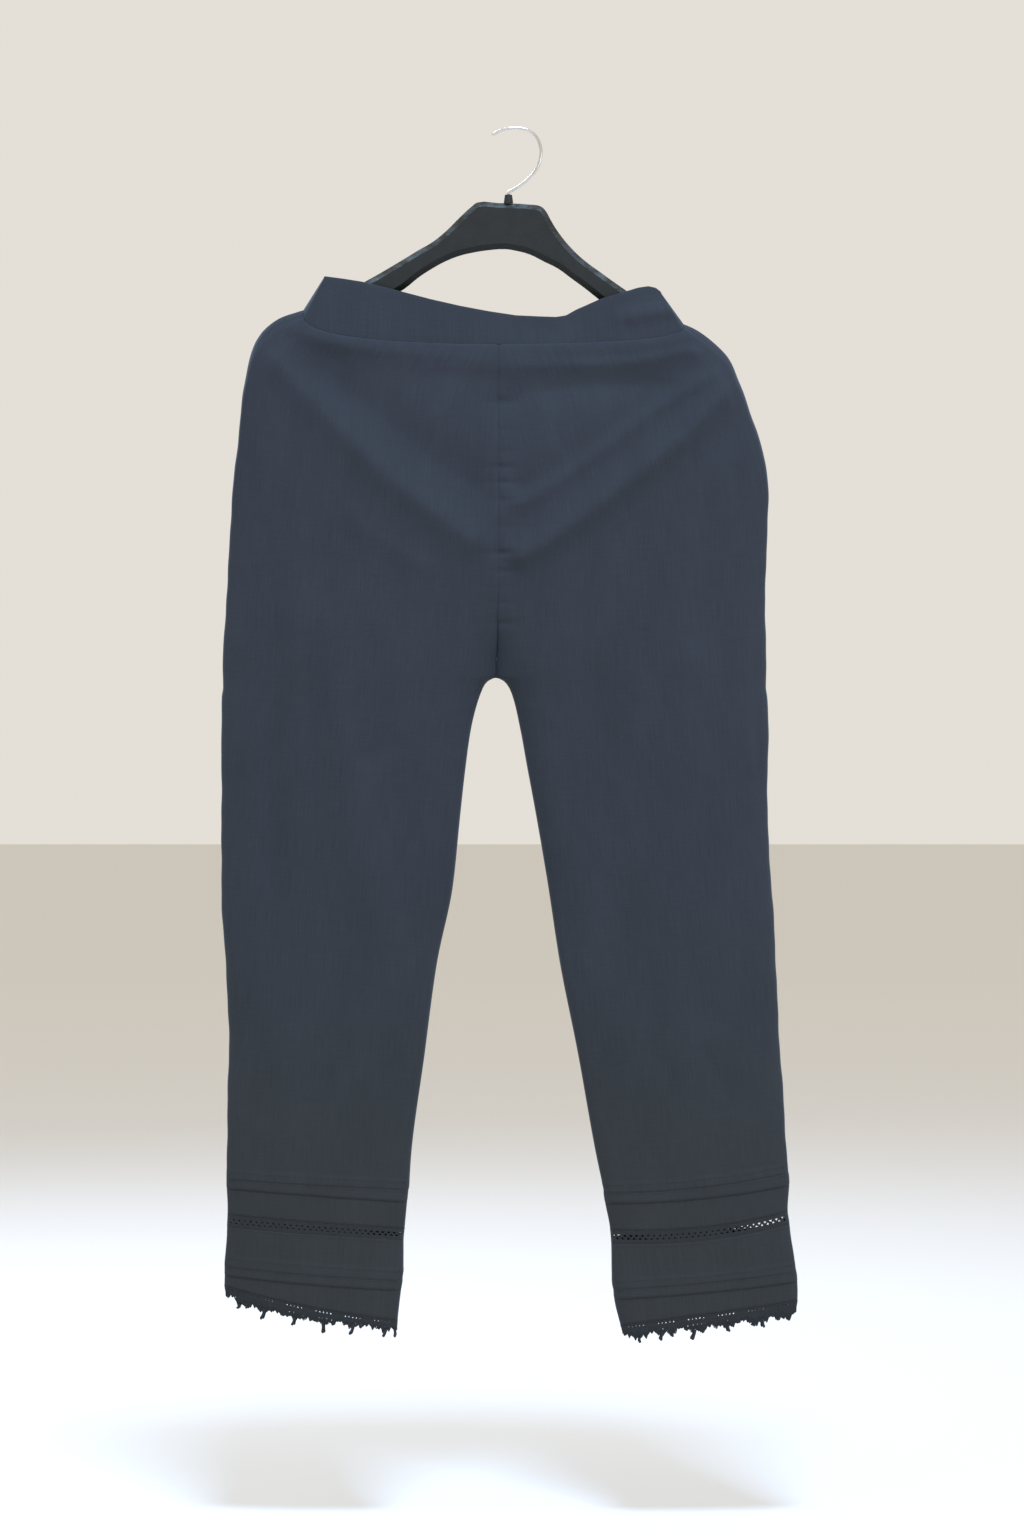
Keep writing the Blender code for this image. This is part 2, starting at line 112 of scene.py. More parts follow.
def add_light(light):
    """A square soft light, turned to the middle of the trousers."""
    data = bpy.data.lights.new(light.name, "AREA")
    data.size = light.size
    data.energy = light.power
    data.color = light.colour
    lamp = bpy.data.objects.new(light.name, data)
    lamp.location = light.place
    aim = LIGHT_AIM - Vector(light.place)
    lamp.rotation_euler = aim.to_track_quat("-Z", "Y").to_euler()
    scene.collection.objects.link(lamp)


world = bpy.data.worlds.new("studio")
world.use_nodes = True
backdrop = world.node_tree.nodes["Background"]
backdrop.inputs["Color"].default_value = ROOM_COLOUR
backdrop.inputs["Strength"].default_value = ROOM_STRENGTH
scene.world = world
add_floor()
for light in LIGHTS:
    add_light(light)
print("lens", round(camera_data.lens, 1), "mm")

# %% [markdown]
# The trousers are one tube round both hips that parts into two legs. A tailor would take a few measures at
# each height, and so does this table: the outline's points and how far the cloth stands out from the middle.
# A smooth curve runs through the measures, so the cloth has no corners between them.

# %% Measures of the trousers
Row = namedtuple(
    "Row",
    "left_out left_in right_in right_out depth side_flat drop leg_share sag_left sag_right",
    defaults=(4, 1, 1, 0, 0),
)


def hip_row(left, middle, right, depth, side_flat, drop, leg_share=0):
    """A row where the left and right panels meet in the middle."""
    return Row(left, middle, middle, right, depth, side_flat, drop, leg_share)


# X and Z at the left side seam, at the left and right of the middle, and at the right side seam. depth is the
# half depth, side_flat the half depth of the folded side, drop how fast a row falls from the side, leg_share
# 0 for one tube and 1 for two legs, sag how far a leg's row hangs. A plain leg needs only the first five.
SECTIONS = {
    "waist seam": hip_row((-198, -169), (-16, -202), (156, -182), 15, 7.5, 0.6),
    "seam puff": hip_row((-206, -171.5), (-16, -209), (161, -184), 18, 7.5, 0.6),
    "below puff": hip_row((-219, -176), (-16, -221), (169, -188), 17.5, 7.5, 0.6),
    "shoulder": hip_row((-237, -190), (-16, -239), (185, -200), 20, 7.5, 0.65),
    "arm end": hip_row((-246, -206), (-16, -260), (199, -215), 24, 7.5, 0.75),
    "under arm": hip_row((-252, -230), (-16, -284), (208, -235), 28, 7.5, 0.9),
    "high hip": hip_row((-257, -263), (-16, -312), (219, -265), 31, 7, 1),
    "hip": hip_row((-260, -300), (-16, -341), (230, -300), 33, 6, 1),
    "low hip": hip_row((-264, -341), (-16, -373), (235, -343), 34, 5, 1),
    "seat": hip_row((-267, -384), (-16, -405), (234, -386), 35, 4, 1),
    "low seat": hip_row((-269, -418), (-16, -431), (233, -419), 35, 4, 1, 0.03),
    "rise": hip_row((-271, -444), (-17, -451), (233, -444), 35, 4, 1, 0.15),
    "low rise": hip_row((-272, -470), (-17, -473), (233, -470), 35, 4, 1, 0.42),
    "fork top": hip_row((-273, -493), (-18, -494), (233, -493), 34, 4, 1, 0.78),
    "fork": Row((-273, -514), (-19, -512), (-19, -512), (233, -514), 34),
    "fork crown": Row((-273, -516), (-22.5, -512.7), (-15, -512.7), (233, -516), 34),
    "fork arch": Row((-273, -522), (-28, -516.5), (-9.5, -516.5), (233, -522), 33),
    "thigh top": Row((-274, -531), (-32.5, -525), (-4.5, -525), (234, -531), 33),
    "high thigh": Row((-274, -563), (-42, -559), (4, -559), (235, -563), 32),
    "thigh": Row((-275, -593), (-47, -594), (10, -592), (235, -593), 31),
    "low thigh": Row((-275, -635), (-52, -639), (18, -635), (235, -633), 30),
    "knee": Row((-274.5, -700), (-59, -706), (29.5, -702), (237.5, -698), 28),
    "calf": Row((-271, -773), (-74, -779), (41, -777), (242, -771), 26),
    "low calf": Row((-268, -855), (-85.5, -864), (57.5, -860), (246, -849), 23.5),
    "above tucks": Row((-269, -944), (-98, -958), (75, -957), (251, -938), 21.5, 4, 1, 1, 0, 2),
    "tuck 1 stitch": Row((-269.5, -971), (-99.5, -981), (80.5, -983), (253, -965.5), 20.6, 4, 1, 1, 0, 4),
    "tuck 1 fold": Row((-269.5, -978), (-100, -987.5), (82, -990.5), (253.5, -972), 20.5, 4, 1, 1, 0, 4),
    "tuck 2 stitch": Row((-269.5, -979.5), (-100.5, -989.5), (82, -992), (254, -974), 20.5, 4, 1, 1, 0, 4),
    "tuck 2 fold": Row((-269.5, -986), (-101.5, -998.5), (83, -999.5), (254.5, -983), 20.4, 4, 1, 1, 0, 4),
    "inset top": Row((-269.5, -1012), (-104, -1025), (88, -1026), (254, -1009), 20.2, 4, 1, 1, 0, 6),
    "inset foot": Row((-270, -1023), (-105, -1035), (89, -1038), (255.5, -1020), 20.2, 4, 1, 1, 0, 6),
    "tuck 3 stitch": Row((-271, -1052), (-105, -1064), (89.5, -1073), (260, -1057.5), 20, 4, 1, 1, 0, 2),
    "tuck 3 fold": Row((-271.5, -1059), (-106, -1072), (90.5, -1080.5), (261, -1064.5), 20, 4, 1, 1, 1, 1),
    "tuck 4 stitch": Row((-271.5, -1060.5), (-106, -1073.5), (91, -1082), (261.5, -1066), 20, 4, 1, 1, 1, 1),
    "tuck 4 fold": Row((-271.5, -1067), (-107, -1080.5), (91.5, -1089), (262, -1073), 20, 4, 1, 1, 1, 1),
    "hem edge": Row((-271.5, -1078), (-110.5, -1110.5), (97.5, -1115), (262.5, -1092), 20, 4, 1, 1, 3, 0),
    "lace foot": Row((-270.5, -1085), (-111, -1117.5), (99.5, -1122), (261.5, -1099.5), 20, 4, 1, 1, 3, 0),
}

# Where each measure lies in a row of numbers, X and Z for the ends of a leg's row
OUTER, INNER = {LEFT: (0, 1), RIGHT: (6, 7)}, {LEFT: (2, 3), RIGHT: (4, 5)}
DEPTH, SIDE_FLAT, DROP, LEG_SHARE = 8, 9, 10, 11
SAG = {LEFT: 12, RIGHT: 13}
DEPTHS = slice(DEPTH, SAG[LEFT])
MEASURES = np.array([
    [*row.left_out, *row.left_in, *row.right_in, *row.right_out, *row[4:]] for row in SECTIONS.values()
], float)


def places_down():
    """How far down the cloth each row of the table lies, as the mean along its four outline points."""
    corners = MEASURES[:, :DEPTH].reshape(-1, 4, 2)
    lengths = np.linalg.norm(np.diff(corners, axis=0), axis=2).mean(axis=1)
    return np.concatenate([[0], np.cumsum(lengths)])


PLACES = places_down()
PLACE_OF = dict(zip(SECTIONS, PLACES))


def blend(a, b, share):
    return a + (b - a) * share


def ease(value, start, end):
    """0 before the start, 1 after the end and an S-curve between."""
    share = np.clip((value - start) / (end - start), 0, 1)
    return share * share * (3 - 2 * share)


def between_rows(at):
    """The measures at places between the table's rows, on smooth curves that never overshoot."""
    step = np.diff(PLACES)[:, None]
    slope = np.diff(MEASURES, axis=0) / step
    before, after = slope[:-1], slope[1:]
    same_way = before * after > 0
    share_1, share_2 = 2 * step[1:] + step[:-1], step[1:] + 2 * step[:-1]
    safe_before, safe_after = np.where(same_way, before, 1), np.where(same_way, after, 1)
    tangent = np.vstack([slope[:1], slope[:1].repeat(len(before), 0), slope[-1:]])
    tangent[1:-1] = np.where(
        same_way, (share_1 + share_2) / (share_1 / safe_before + share_2 / safe_after), 0)
    inside = np.clip(at, PLACES[0], PLACES[-1])
    row = np.clip(np.searchsorted(PLACES, inside, side="right") - 1, 0, len(step) - 1)
    gap = step[row]
    part = ((inside - PLACES[row]) / gap[..., 0])[..., None]
    left = 1 - part
    start = (1 + 2 * part) * left**2 * MEASURES[row] + part * left**2 * gap * tangent[row]
    end = part * part * (3 - 2 * part) * MEASURES[row + 1] - part * part * left * gap * tangent[row + 1]
    return start + end


SHORT_STRETCH = (-16, -8, 0, 8, 16)
LONG_STRETCH = range(-75, 76, 15)


def mean_over(at, stretch):
    """The measures averaged over a stretch of cloth, given as steps up and down in millimetres."""
    return sum(between_rows(at + step) for step in stretch) / len(stretch)


def measures_at(at):
    """The measures at places down the cloth, with the depths averaged so that no line shows."""
    found = between_rows(at)
    found[..., DEPTHS] = mean_over(at, SHORT_STRETCH)[..., DEPTHS]
    return found


print("length down the cloth", round(PLACES[-1]), "mm")

# %% [markdown]
# A point of the cloth is found from how far across its panel it is, 0 at the side seam and 1 at the centre or
# inside seam, and how far down. At the hips it lies on half an ellipse round both legs. Further down each leg
# is a flattened tube of its own, and in between the two shapes are blended, which makes the fork.

# %% The cloth's surface
SHEET, SEAM_GAP = 0.42, 0.04
SEAM_HALF = (SHEET + SEAM_GAP) / 2
SEAM_TURN_INS = (0.6, 2.5, 5)

# The round at a panel's edge, as a share of its width, and its columns
EDGE_ROUND, EDGE_COLUMNS = 0.008, 4

# How far the back half hangs higher or lower, how far from the insertion that starts and ends, and between
# which shares across the right leg it changes
BACK_RISE, BACK_DROP = 2.8, -4
SHIFT_START, SHIFT_END, EDGING_START = 130, 10, 5
SIDE_SHARE, MIDDLE_SHARE = 0.12, 0.55

# The centre seam, the dip along it, and how near the panels' edges are where they count as joined
CENTRE_X = -16
SEAM_DIP, SEAM_DIP_WIDTH = 0.7, 2.2
JOINED_WITHIN = 4

# How fast what happens at a seam fades into the cloth beside it
SEAM_POWER, WOBBLE_POWER, STRAIGHT_POWER = 30, 6, 16
NEARBY_SHARE = 0.004

# Height, length and start of each wave of the side seams
SIDE_WAVES = ((0.5, 31, 0), (0.3, 13, 1.3), (0.15, 5.1, 0))

# How square the inside of a leg is, and how it is at the fork
INNER_FLATNESS, FORK_FLATNESS = 0.58, 1.3
FORK_START, FORK_END, WOBBLE_START = (220, 300), (480, 560), (40, 90)
SAG_SHAPE = 4


def edge_round(across):
    """Rises from 0 at the seam to 1 a little way in, on a quarter circle."""
    inside = np.clip(1 - across / EDGE_ROUND, 0, 1)
    return np.sqrt(1 - inside * inside)


def side_wobble(z):
    """Small unevenness of the side seams, from three waves."""
    return sum(height * np.sin(z / length + start) for height, length, start in SIDE_WAVES)


def back_shift(side, across, at):
    """How much higher the back half hangs than the front, in millimetres.

    At the insertion light then shows only near the side seams, and at the edging the back drops a little.
    """
    top, foot, hem = (PLACE_OF[name] for name in ("inset top", "inset foot", "hem edge"))
    low = BACK_DROP if side == RIGHT else BACK_RISE
    rise = blend(low, BACK_RISE, ease(across, SIDE_SHARE, MIDDLE_SHARE))
    at_inset = rise * ease(at, top - SHIFT_START, top - SHIFT_END)
    return blend(at_inset, BACK_DROP, ease(at, foot + EDGING_START, hem))


def joined_at(measured):
    """1 where the left and right panels meet in the middle, 0 where there are two legs."""
    apart = np.abs(measured[..., INNER[RIGHT][0]] - measured[..., INNER[LEFT][0]])
    return np.clip(1 - apart / JOINED_WITHIN, 0, 1)


def row_ends(side, at, measured, eased, by_seam):
    """X and Z of a row's inner end and Z of its outer end, averaged where no seam holds them."""
    inner_x, inner_z = INNER[side]
    outer_z = OUTER[side][1]
    near_fork = ease(at, *FORK_START) * (1 - ease(at, *FORK_END))
    row_x = blend(eased[..., inner_x], measured[..., inner_x], by_seam)
    row_z = blend(measured[..., inner_z], eased[..., inner_z], near_fork * (1 - by_seam))
    side_z = blend(measured[..., outer_z], eased[..., outer_z], near_fork)
    return row_x, row_z, side_z


def from_middle(across, at, measured, legs, hip_turn, leg_turn):
    """How far the cloth lies from the plane between front and back."""
    at_fork = ease(at, PLACE_OF["seat"], PLACE_OF["fork top"])
    at_fork = at_fork * (1 - ease(at, PLACE_OF["fork arch"], PLACE_OF["thigh"]))
    flatness = blend(INNER_FLATNESS, FORK_FLATNESS, at_fork)
    leg_bulge = np.maximum(np.sin(leg_turn), 0) ** blend(1, flatness, across)
    bulge = blend(np.sin(hip_turn), leg_bulge, legs)
    inner_round = blend(1, edge_round(1 - across), legs)
    depth, flat = measured[..., DEPTH], measured[..., SIDE_FLAT]
    return (flat * inner_round + (depth - flat) * bulge) * edge_round(across) + SEAM_HALF


def base_surface(side, face, across, at):
    """Points of the cloth before any fold, for shares across and places down, in millimetres."""
    across, at = np.asarray(across, float), np.asarray(at, float)
    measured, eased = measures_at(at), mean_over(at, LONG_STRETCH)
    sign = 1 if side == LEFT else -1
    by_seam = across**SEAM_POWER
    outer_x, outer_z = (measured[..., place] for place in OUTER[side])
    row_x, row_z, side_z = row_ends(side, at, measured, eased, by_seam)
    left_x, right_x = measured[..., OUTER[LEFT][0]], measured[..., OUTER[RIGHT][0]]
    centre_cos = sign * ((left_x + right_x) / 2 - measured[..., INNER[side][0]]) / ((right_x - left_x) / 2)
    hip_turn = np.arccos(np.clip(1 - across * (1 - centre_cos), -1, 1))
    leg_turn = np.arccos(1 - 2 * across)
    legs = blend(eased[..., LEG_SHARE], measured[..., LEG_SHARE], by_seam)
    hip_z = blend(side_z, row_z, np.maximum(0, np.sin(hip_turn)) ** measured[..., DROP])
    leg_z = blend(side_z, row_z, across) - SAG_SHAPE * measured[..., SAG[side]] * across * (1 - across)
    wobble = side_wobble(outer_z) * (1 - across) ** WOBBLE_POWER * ease(at, *WOBBLE_START)
    x = blend(outer_x, row_x, across) - sign * (wobble + joined_at(measured) * SEAM_HALF * by_seam)
    y = face * from_middle(across, at, measured, legs, hip_turn, leg_turn)
    z = blend(hip_z, leg_z, legs) - np.maximum(0, at - PLACES[-1])
    if face == BACK:
        z = z + back_shift(side, across, at) * np.sin(leg_turn)
    return np.stack(np.broadcast_arrays(x, y, z), axis=-1)


def out_of_cloth(side, face, across, at):
    """Directions that point out of the cloth, at right angles to it."""
    here, there = (np.clip(across + step, 0, 1) for step in (-NEARBY_SHARE, NEARBY_SHARE))
    along = base_surface(side, face, there, at) - base_surface(side, face, here, at)
    down = base_surface(side, face, across, at + 1) - base_surface(side, face, across, at - 1)
    out = np.cross(down, along) if (side == LEFT) == (face == FRONT) else np.cross(along, down)
    out /= np.maximum(np.linalg.norm(out, axis=-1, keepdims=True), 1e-9)
    straight = (across**STRAIGHT_POWER * joined_at(measures_at(at)))[..., None]
    out = blend(out, np.array([0, face, 0.0]), straight)
    return out / np.linalg.norm(out, axis=-1, keepdims=True)


def columns_across(count, both_edges):
    """Shares across a panel, evenly spaced, with extra ones where its edge turns."""
    turns = np.linspace(0, math.pi / 2, EDGE_COLUMNS + 1)
    edge = EDGE_ROUND * (1 - np.cos(turns))
    last = 1 - EDGE_ROUND if both_edges else 1
    middle = np.linspace(EDGE_ROUND, last, count)
    tail = 1 - edge[::-1] if both_edges else np.empty(0)
    return np.concatenate([edge[:-1], middle, tail[1:]])


probe = base_surface(LEFT, FRONT, np.array([0, 0.5, 1]), PLACE_OF["thigh"])
print("left thigh at the side, middle and inside:", probe.round(1).tolist())

# %% [markdown]
# Folds are laid one by one, as on the real cloth: each is a run of points and stands out of the cloth or sinks
# into it by a few millimetres, strongest in the middle of its run. Where folds cross, their heights add up.

# %% Folds
Crease = namedtuple("Crease", "run height width end", defaults=(0.3,))

FRONT_CREASES = (
    # The fold that runs from the left end of the hanger to the seam
    Crease(((-272, -172), (-240, -202), (-224, -219), (-202, -243), (-179, -266), (-157, -290), (-135, -311),
            (-113, -331), (-90, -349), (-68, -366), (-46, -383), (-20, -398)), 7.5, 16, 0.08),
    Crease(((-168, -345), (-142, -372), (-101, -402), (-60, -424)), 2, 13),
    # Two folds from the right end of the hanger
    Crease(((232, -204), (202, -238), (175, -268), (153, -292), (130, -310), (108, -327), (86, -345),
            (63, -362), (41, -378), (19, -392), (-12, -407)), 8.5, 13, 0.06),
    Crease(((212, -214), (175, -236), (153, -247), (130, -261), (108, -279), (86, -296), (63, -312),
            (41, -328), (19, -343), (-12, -359)), 4.5, 9, 0.08),
    # The puffed cloth under the waistband
    Crease(((-240, -180), (-217, -186), (-180, -191), (-151, -200), (-123, -207), (-91, -211), (-60, -215),
            (-28, -217), (4, -219), (35, -219), (67, -220), (99, -219), (130, -214), (157, -207), (182, -209),
            (205, -228)), 4.6, 11, 0.1),
    Crease(((-215, -205), (-140, -258), (-90, -299), (-40, -334), (-12, -348)), -7, 26, 0.1),
    Crease(((-40, -262), (10, -247), (50, -241), (100, -240), (155, -236)), -4, 13, 0.2),
    Crease(((170, -230), (130, -250), (87, -283), (45, -316), (-12, -345)), -3.5, 16, 0.1),
    Crease(((36, -207), (37, -233)), -1.2, 4),
    Crease(((205, -309), (204, -361)), -1, 5),
    Crease(((213, -395), (212, -438)), -1, 5),
    Crease(((226, -284), (228, -395)), 1.5, 6),
    # Left leg
    Crease(((-220, -400), (-222, -450), (-225, -560), (-228, -720), (-236, -880)), -3, 12),
    Crease(((-186, -400), (-176, -480), (-160, -560), (-146, -640), (-132, -720), (-120, -800)), 7.5, 38),
    Crease(((-150, -592), (-122, -578), (-99, -566)), -1.6, 9),
    Crease(((-98, -620), (-99, -700), (-108, -780)), -1.2, 9),
    # Right leg
    Crease(((22, -460), (24, -540), (38, -640), (52, -720)), 2.5, 16),
    Crease(((70, -470), (78, -560), (88, -680), (104, -800)), -4, 24),
    Crease(((165, -440), (164, -560), (168, -700), (172, -840)), 6, 38),
    Crease(((119, -463), (120, -503)), -1, 4),
    Crease(((121, -560), (128, -600), (135, -624)), -1, 5),
    Crease(((222, -425), (222, -524), (226, -590), (228, -655)), -2.2, 6),
    Crease(((171, -849), (190, -886), (208, -924)), -1.6, 8),
)
BACK_CREASES = (
    Crease(((-236, -210), (-190, -250), (-130, -305), (-40, -362)), 6, 12),
    Crease(((-244, -232), (-200, -275), (-130, -345), (-34, -405)), -5, 11),
    Crease(((196, -238), (140, -285), (80, -330), (0, -372)), 6, 11),
    Crease(((204, -252), (150, -305), (80, -365), (-6, -415)), -5, 11),
    Crease(((-210, -430), (-216, -600), (-222, -860)), -4, 13),
    Crease(((-150, -470), (-134, -640), (-120, -860)), 4.5, 28),
    Crease(((190, -470), (196, -640), (204, -860)), -4, 13),
    Crease(((112, -500), (122, -640), (140, -880)), 4, 26),
    Crease(((60, -500), (74, -640)), -3, 16),
    Crease(((-80, -560), (-92, -700)), -3, 14),
    Crease(((-120, -590), (-90, -612)), -2, 8),
    Crease(((150, -640), (176, -664)), -2, 8),
)

# A fold fades in and out along its run, near the seams and just under the waistband
CREASE_START, EDGE_FADE, FOLDS_GROW = 0.18, 0.07, 24
CREST_ROUND, CREST_POWER = 0.015, 0.8

# Height, size, seed, and how much finer the unevenness is across and down the cloth
SLACK, RUMPLE = (0.5, 75, 3, 1.3, 0.4), (0.1, 24, 5, 1.5, 0.6)
NOISE_WAVES, NOISE_MEAN, NOISE_STRETCH, FULL_TURN = 6, 3, (0.7, 1.6), 6.28

# Length of a wave, how far it sways and the length of its sway
WAIST_GATHERS, SEAM_PULLS, BAND_GATHERS = (3.7, 1.2, 17), (3.0, 1.9, 17), (3.1, 1.4, 14)
MEAN_STRENGTH, STRENGTH_SWING = 0.6, 0.4
WAIST_CHANGE, PULL_CHANGE = 29, 11

# Height, place under the waistband, reach and start of the gathers and of the puffed cloth, and the depth,
# reach and start of the tucks that pull at the centre seam, which are weaker on the left
GATHER_HEIGHT, GATHER_AT, GATHER_REACH, GATHER_START = 0.7, 9, 14, (0, 4)
PUFF_HEIGHT, PUFF_AT, PUFF_REACH, PUFF_START = 2.4, 7, 7, (-2.5, 2)
PULL_DEPTH, PULL_REACH, PULL_START, PULL_SHARPNESS = 2.6, 15, (20, 60), 3
LEFT_PULL_SHARE, SEAM_EASE, WAIST_ENDS = 0.35, 3, 0.03


def bell(away, width):
    """1 at the middle, falling off smoothly to either side."""
    return np.exp(-((away / width) ** 2))


def uneven_wave(place, length, sway, sway_length):
    """A wave whose crests come unevenly, as gathers do."""
    return np.sin(place / length + sway * np.sin(place / sway_length))


def strength_at(turn):
    """How strong gathers are, which changes slowly along a seam."""
    return MEAN_STRENGTH + STRENGTH_SWING * np.sin(turn)


def crease_height(crease, x, z):
    """Height of one crease at points X, Z."""
    run = np.array(crease.run, float)
    lengths = np.linalg.norm(np.diff(run, axis=0), axis=1)
    total = lengths.sum()
    nearest, reached, walked = np.full(x.shape, 1e9), np.zeros(x.shape), 0
    for start, end, length in zip(run, run[1:], lengths):
        step = (end - start) / length
        along = np.clip((x - start[0]) * step[0] + (z - start[1]) * step[1], 0, length)
        away = np.hypot(x - start[0] - along * step[0], z - start[1] - along * step[1])
        closer = away < nearest
        nearest = np.where(closer, away, nearest)
        reached = np.where(closer, (walked + along) / total, reached)
        walked += length
    fade = ease(reached, 0, CREASE_START) * ease(1 - reached, 0, crease.end)
    return crease.height * fade * np.exp(-(((nearest / crease.width) ** 2 + CREST_ROUND) ** CREST_POWER))


def soft_noise(x, z, height, size, seed, across, down):
    """Gentle unevenness from a few waves in different directions, finer across the cloth than down it."""
    random = np.random.default_rng(seed)
    x, z = x * across, z * down
    total = 0
    for _ in range(NOISE_WAVES):
        turn, phase = random.uniform(0, math.pi), random.uniform(0, FULL_TURN)
        stretch = random.uniform(*NOISE_STRETCH)
        along = x * math.cos(turn) + z * math.sin(turn)
        total = total + np.sin(along * stretch / size * FULL_TURN + phase)
    return height * total / NOISE_MEAN


def cloth_height(face, across, at, points):
    """How far the cloth stands out of its base surface."""
    x, z = points[..., 0], points[..., 2]
    creases = FRONT_CREASES if face == FRONT else BACK_CREASES
    folds = sum(crease_height(crease, x, z) for crease in creases)
    folds = folds + soft_noise(x, z, *SLACK) + soft_noise(x, z, *RUMPLE)
    legs = measures_at(at)[..., LEG_SHARE]
    side_fade = ease(across, 0, EDGE_FADE)
    inner_fade = blend(1, ease(1 - across, 0, EDGE_FADE), legs)
    grown = ease(at, 0, FOLDS_GROW)
    return folds * side_fade * inner_fade * grown + seam_puckers(face, across, at, x, z, legs)


def seam_puckers(face, across, at, x, z, legs):
    """Small gathers under the waist seam, and the dip and tucks along the centre seam."""
    gathers = uneven_wave(x, *WAIST_GATHERS) * strength_at(x / WAIST_CHANGE + face)
    waist = GATHER_HEIGHT * gathers * bell(at - GATHER_AT, GATHER_REACH) * ease(at, *GATHER_START)
    puff = PUFF_HEIGHT * bell(at - PUFF_AT, PUFF_REACH) * ease(at, *PUFF_START)
    away = np.abs(x - CENTRE_X)
    dip = -SEAM_DIP * bell(away, SEAM_DIP_WIDTH) * (1 - legs)
    strength = blend(LEFT_PULL_SHARE, 1, ease(x, CENTRE_X - SEAM_EASE, CENTRE_X + SEAM_EASE))
    pulls = np.maximum(0, uneven_wave(z, *SEAM_PULLS)) ** PULL_SHARPNESS * strength_at(z / PULL_CHANGE)
    tucks = -PULL_DEPTH * pulls * bell(away, PULL_REACH) * strength * (1 - legs) * ease(at, *PULL_START)
    return (waist + puff) * ease(across, 0, WAIST_ENDS) + dip + tucks


grid_x, grid_z = np.meshgrid(np.linspace(-240, 230, 60), np.linspace(-220, -900, 80))
total = sum(crease_height(crease, grid_x, grid_z) for crease in FRONT_CREASES)
print("front folds from", round(float(total.min()), 1), "to", round(float(total.max()), 1), "mm")

# %% [markdown]
# Cloth is made from a flat grid whose corners are moved onto the surface, and a Solidify modifier then gives
# it the thickness of cotton. A tuck is a pleat sewn flat: the rows run down to its fold, back up under it and
# down again, so the three layers are really there and throw a fine shadow. Its map is in metres of cloth, so
# that the weave follows the threads.

# %% Sheets and tucks
CLOTH_MAP = "cloth"
LAYER = 0.48
TUCK_AT_SEAM, TUCK_EASE = 0.4, 0.05
TUCK_ROWS = 5

# Around a tuck: millimetres from its stitching or fold, and how many layers of cloth it stands out
BEFORE_TUCK = ((-2.4, 0.4), (-1, 1.3), (0, 1.7))
TUCK_TOP, TUCK_FOLD, TUCK_UNDER, TUCK_END = (2, 2.7), (0.5, 1.9), (1.1, 1.0), (0.4, 0.5)
TUCK_CLEAR = 4


def plain_rows(start, end, step):
    count = max(2, round((end - start) / step) + 1)
    return [(at, 0) for at in np.linspace(start, end, count)]


def rows_down(first, last, step, tucks=()):
    """Places down the cloth and how far each stands out, with the tucks folded in."""
    rows = []
    start = PLACE_OF[first]
    for stitch_name, fold_name in tucks:
        stitch, fold = PLACE_OF[stitch_name], PLACE_OF[fold_name]
        rows += plain_rows(start, stitch - TUCK_CLEAR, step)
        rows += [(stitch + far, layers * LAYER) for far, layers in BEFORE_TUCK]
        shares = np.linspace(0, 1, TUCK_ROWS + 1)
        rows += [(blend(stitch, fold, share), blend(*TUCK_TOP, share) * LAYER) for share in shares[1:]]
        rows.append((fold + TUCK_FOLD[0], TUCK_FOLD[1] * LAYER))
        start = stitch + TUCK_END[0]
        rows += [(blend(fold, start, share), blend(*TUCK_UNDER, share) * LAYER) for share in shares]
        rows.append((stitch, TUCK_END[1] * LAYER))
    rows += plain_rows(start, PLACE_OF[last], step)
    return np.array(rows)


def link(name, mesh, materials):
    piece = bpy.data.objects.new(name, mesh)
    scene.collection.objects.link(piece)
    for material in materials:
        mesh.materials.append(material)
    mesh.shade_smooth()
    return piece


def cloth_lengths(points):
    """Metres of cloth along each row from its middle, and down the middle column."""
    rows, columns = points.shape[:2]
    steps_across = np.linalg.norm(np.diff(points, axis=1), axis=2)
    steps_down = np.linalg.norm(np.diff(points, axis=0), axis=2)
    across = np.concatenate([np.zeros((rows, 1)), np.cumsum(steps_across, axis=1)], axis=1)
    across -= across[:, [columns // 2]]
    down = np.concatenate([[0], np.cumsum(steps_down[:, columns // 2])])
    return across * MM, down * MM


def grid_sheet(name, points, reverse, material, wall=SHEET, holes=None):
    """A sheet through rows and columns of points, in millimetres, with its map in metres of cloth.

    holes says for each cell of the grid whether it is left open.
    """
    rows, columns = points.shape[:2]
    across, down = cloth_lengths(points)
    sheet = bmesh.new()
    uv_layer = sheet.loops.layers.uv.new(CLOTH_MAP)
    bmesh.ops.create_grid(sheet, x_segments=columns - 1, y_segments=rows - 1, size=1)
    places, cells = {}, {}
    for vert in sheet.verts:
        column = round((vert.co.x + 1) / 2 * (columns - 1))
        row = round((1 - vert.co.y) / 2 * (rows - 1))
        places[vert.index] = (across[row, column], -down[row])
        cells[vert.index] = (row, column)
        vert.co = Vector(points[row, column]) * MM
    for polygon in sheet.faces:
        for loop in polygon.loops:
            loop[uv_layer].uv = places[loop.vert.index]
    if holes is not None:
        open_cells = [face for face in sheet.faces if holes[min(cells[v.index] for v in face.verts)]]
        bmesh.ops.delete(sheet, geom=open_cells, context="FACES")
    if reverse:
        bmesh.ops.reverse_faces(sheet, faces=sheet.faces)
    mesh = bpy.data.meshes.new(name)
    sheet.to_mesh(mesh)
    sheet.free()
    piece = link(name, mesh, [material])
    if wall:
        thicken = piece.modifiers.new("wall", "SOLIDIFY")
        thicken.thickness = wall * MM
        thicken.offset = 0
    return piece


